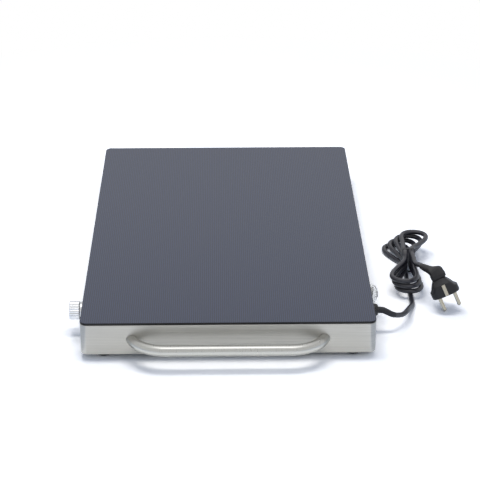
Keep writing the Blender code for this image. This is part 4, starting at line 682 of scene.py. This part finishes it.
# The mat is matt with the cloth's 0.8 mm weave, the board chalky and fibrous, the sheet bright with the
# marks of rolling, which run along Y and are drawn 0.4 mm apart, coarser than the real ones.
heater_silicone = finish("glass-cloth silicone mat", ("#8a3624", "#9d4530"), (0.5, 0.7), (0.8, 0.8, 0.8),
                         0.05)
fibre_board = finish("pressed glass fibre", ("#ddd8cd", "#efebe2"), (0.85, 0.95), (1.5, 1.5, 0.3), 0.12)
bright_sheet = finish("rolled aluminium sheet", ("#c9cbcd", "#dcdee0"), (0.2, 0.35), (0.4, 30, 30), 0.003,
                      1.0)
dress(heater_silicone, "heating_mat")
dress(fibre_board, "insulation_board")
dress(bright_sheet, "reflector_tray", "heater_lead_live", "heater_lead_neutral")

# Thermostat, cut-out and wiring.
# Phenolic cases, a copper bulb and capillary, brass nut and earth screw, a white nylon terminal
# block and PVC wires in brown, blue and green.

# Phenolic is dull brown-black, drawn copper and machined brass are softly glossy, nylon and PVC are even.
# The earth wire's green and yellow are mixed by its grain.
phenolic = finish("moulded phenolic", ("#1b1714", "#27211d"), (0.4, 0.55), (1, 1, 1), 0.01)
copper = finish("drawn copper tube", ("#b8734a", "#c98660"), (0.25, 0.4), (2, 2, 2), 0.004, 1.0)
brass = finish("machined brass", ("#c6a65a", "#d8bb74"), (0.22, 0.34), (0.3, 2, 2), 0.003, 1.0)
white_nylon = finish("natural nylon", ("#e2dfd6", "#efece4"), (0.4, 0.55), (2, 2, 2), 0.01)
brown_wire = finish("brown PVC wire", ("#5f3a22", "#6d452b"), (0.4, 0.55), (3, 3, 3), 0.01)
blue_wire = finish("blue PVC wire", ("#2a54a8", "#3461b8"), (0.4, 0.55), (3, 3, 3), 0.01)
green_wire = finish("green and yellow PVC wire", ("#4f9a35", "#d5c93a"), (0.4, 0.55), (2.5, 2.5, 2.5), 0.01)
dress(phenolic, "thermostat_body", "thermal_cutout")
dress(copper, "sensing_bulb")
dress(brass, "thermostat_nut", "earth_screw")
dress(white_nylon, "terminal_block")
dress(brown_wire, "live_wire")
dress(blue_wire, "neutral_wire")
dress(green_wire, "earth_wire")

# Table.
# A wide matt white laminate top, a hair under the feet and the cord, which keeps their shadows.
# It fades to plain white where the camera sees it beyond the object.
table_half, table_drop = 4.0, 0.0001
table_mesh = bmesh.new()
bmesh.ops.create_grid(table_mesh, x_segments=1, y_segments=1, size=table_half)
bmesh.ops.translate(table_mesh, vec=(0, 0, -table_drop), verts=table_mesh.verts)
table_data = bpy.data.meshes.new("table")
table_mesh.to_mesh(table_data)
table_mesh.free()
table = bpy.data.objects.new("table", table_data)
bpy.context.scene.collection.objects.link(table)
# Matt laminate has no gloss. The photograph's table is overexposed, so the camera sees it brighter than the
# object does. Metal and glass mirror a painted reflection of the table, brighter than it is lit, with a
# painted highlight just beside the frame's sides and painted bluish shade further out.
table_white, table_seen = (0.80, 0.80, 0.80, 1), (1.5, 1.5, 1.5, 1)
painted_reflection_middle, painted_reflection_far = (1.32, 1.31, 1.245, 1), (0.80, 0.87, 0.96, 1)
painted_reflection_stops = ((0.168, painted_reflection_middle), (0.178, (1.8, 1.8, 1.75, 1)), (0.190, (0.90, 0.95, 1.0, 1)))
fade_start, fade_end = 0.45, 0.9
white_laminate = bpy.data.materials.new("matt white laminate")
white_laminate.use_nodes = True
laminate_tree = white_laminate.node_tree
laminate_tree.nodes.clear()
seen = add_node(laminate_tree, "LightPath", {}, {})
seen_direct = add_node(laminate_tree, "Math", {"operation": "MAXIMUM"},
                       {0: seen.outputs["Is Camera Ray"], 1: seen.outputs["Is Transmission Ray"]})
laminate_place = add_node(laminate_tree, "TexCoord", {}, {})
laminate_axes = add_node(laminate_tree, "SeparateXYZ", {}, {0: laminate_place.outputs["Object"]})
laminate_aside = add_node(laminate_tree, "Math", {"operation": "ABSOLUTE"}, {0: laminate_axes.outputs["X"]})
# Painted reflection by distance from the middle: a painted bright line just outside the frame's sides, then
# painted bluish shade.
painted_reflection_ramp = add_node(laminate_tree, "ValToRGB", {}, {0: laminate_aside.outputs[0]})
for position, colour in painted_reflection_stops:
    painted_reflection_ramp.color_ramp.elements.new(position).color = colour
painted_reflection_ramp.color_ramp.elements[0].color = painted_reflection_middle
painted_reflection_ramp.color_ramp.elements[-1].color = painted_reflection_far
laminate_painted_reflection = add_node(laminate_tree, "Mix", {"data_type": "RGBA", 6: table_white},
                             {0: seen.outputs["Is Glossy Ray"], 7: painted_reflection_ramp.outputs["Color"]})
laminate_colour = add_node(laminate_tree, "Mix", {"data_type": "RGBA", 7: table_seen},
                           {0: seen_direct.outputs[0], 6: laminate_painted_reflection.outputs[2]})
laminate = add_node(laminate_tree, "BsdfDiffuse", {}, {"Color": laminate_colour.outputs[2]})
away = add_node(laminate_tree, "VectorMath", {"operation": "LENGTH"}, {0: laminate_place.outputs["Object"]})
away_share = add_node(laminate_tree, "MapRange", {"From Min": fade_start, "From Max": fade_end},
                      {"Value": away.outputs["Value"]})
away_seen = add_node(laminate_tree, "Math", {"operation": "MULTIPLY"},
                     {0: away_share.outputs["Result"], 1: seen.outputs["Is Camera Ray"]})
white_wall = add_node(laminate_tree, "Emission", {"Color": (1, 1, 1, 1), "Strength": 1.0}, {})
laminate_mix = add_node(laminate_tree, "MixShader", {}, {0: away_seen.outputs[0], 1: laminate.outputs[0],
                                                         2: white_wall.outputs[0]})
add_node(laminate_tree, "OutputMaterial", {}, {"Surface": laminate_mix.outputs[0]})
table_data.materials.append(white_laminate)

# Room.
# The camera sees plain white. Metal and glass mirror pale grey walls, given by height, under a bright
# ceiling, and a weak bluish light from all round fills the shadows.
wall_greys = ((0.30, 0.66), (0.40, 0.84), (0.48, 0.84), (0.62, 0.50), (0.80, 0.80), (0.93, 0.74))
room_floor_grey, room_ceiling_grey = 0.66, 2.6
room = bpy.data.worlds.new("pale room")
bpy.context.scene.world = room
room.use_nodes = True
room_tree = room.node_tree
room_tree.nodes.clear()
path = add_node(room_tree, "LightPath", {}, {})
way_out = add_node(room_tree, "TexCoord", {}, {})
height = add_node(room_tree, "SeparateXYZ", {}, {0: way_out.outputs["Generated"]})
walls = add_node(room_tree, "ValToRGB", {}, {0: height.outputs["Z"]})
for position, grey in wall_greys:
    walls.color_ramp.elements.new(position).color = (grey, grey, grey, 1)
walls.color_ramp.elements[0].color = (room_floor_grey, room_floor_grey, room_floor_grey, 1)
walls.color_ramp.elements[-1].color = (room_ceiling_grey, room_ceiling_grey, room_ceiling_grey, 1)
mirrored = add_node(room_tree, "Background", {"Strength": 1.0}, {"Color": walls.outputs["Color"]})
ambient = add_node(room_tree, "Background", {"Color": linear("#d6e3fb"), "Strength": 0.41}, {})
white = add_node(room_tree, "Background", {"Color": (1, 1, 1, 1), "Strength": 1.0}, {})
glossy_mix = add_node(room_tree, "MixShader", {}, {0: path.outputs["Is Glossy Ray"], 1: ambient.outputs[0],
                                                   2: mirrored.outputs[0]})
plain = add_node(room_tree, "Math", {"operation": "MAXIMUM"},
                 {0: path.outputs["Is Camera Ray"], 1: path.outputs["Is Transmission Ray"]})
seen_mix = add_node(room_tree, "MixShader", {}, {0: plain.outputs[0], 1: glossy_mix.outputs[0],
                                                 2: white.outputs[0]})
add_node(room_tree, "OutputWorld", {}, {"Surface": seen_mix.outputs[0]})

# Lamps.
# Three soft lamps that point at the plate: a wide one above it and weaker ones behind it and in front.
# They leave soft shadows on the table. Metal and glass mirror the room and not the lamps.
for lamp_name, place, watts, width, depth, colour in (
        ("key_lamp", (0.0, -0.07, 1.65), 10.4, 1.1, 0.34, "#fffdfa"),
        ("back_lamp", (-0.30, 0.55, 1.30), 3.8, 0.5, 0.4, "#fbfbff"),
        ("front_lamp", (0.70, -1.30, 1.00), 2.2, 0.4, 0.4, "#fbfbff")):
    lamp_data = bpy.data.lights.new(lamp_name, "AREA")
    lamp_data.energy = watts
    lamp_data.shape = "RECTANGLE"
    lamp_data.size = width
    lamp_data.size_y = depth
    lamp_data.color = linear(colour)[:3]
    lamp = bpy.data.objects.new(lamp_name, lamp_data)
    bpy.context.scene.collection.objects.link(lamp)
    lamp.location = place
    lamp.visible_glossy = False
    lamp.rotation_mode = "QUATERNION"
    lamp.rotation_quaternion = (-Vector(place)).to_track_quat("-Z", "Y")

bpy.context.scene.view_settings.view_transform = "Standard"

bpy.context.view_layer.update()
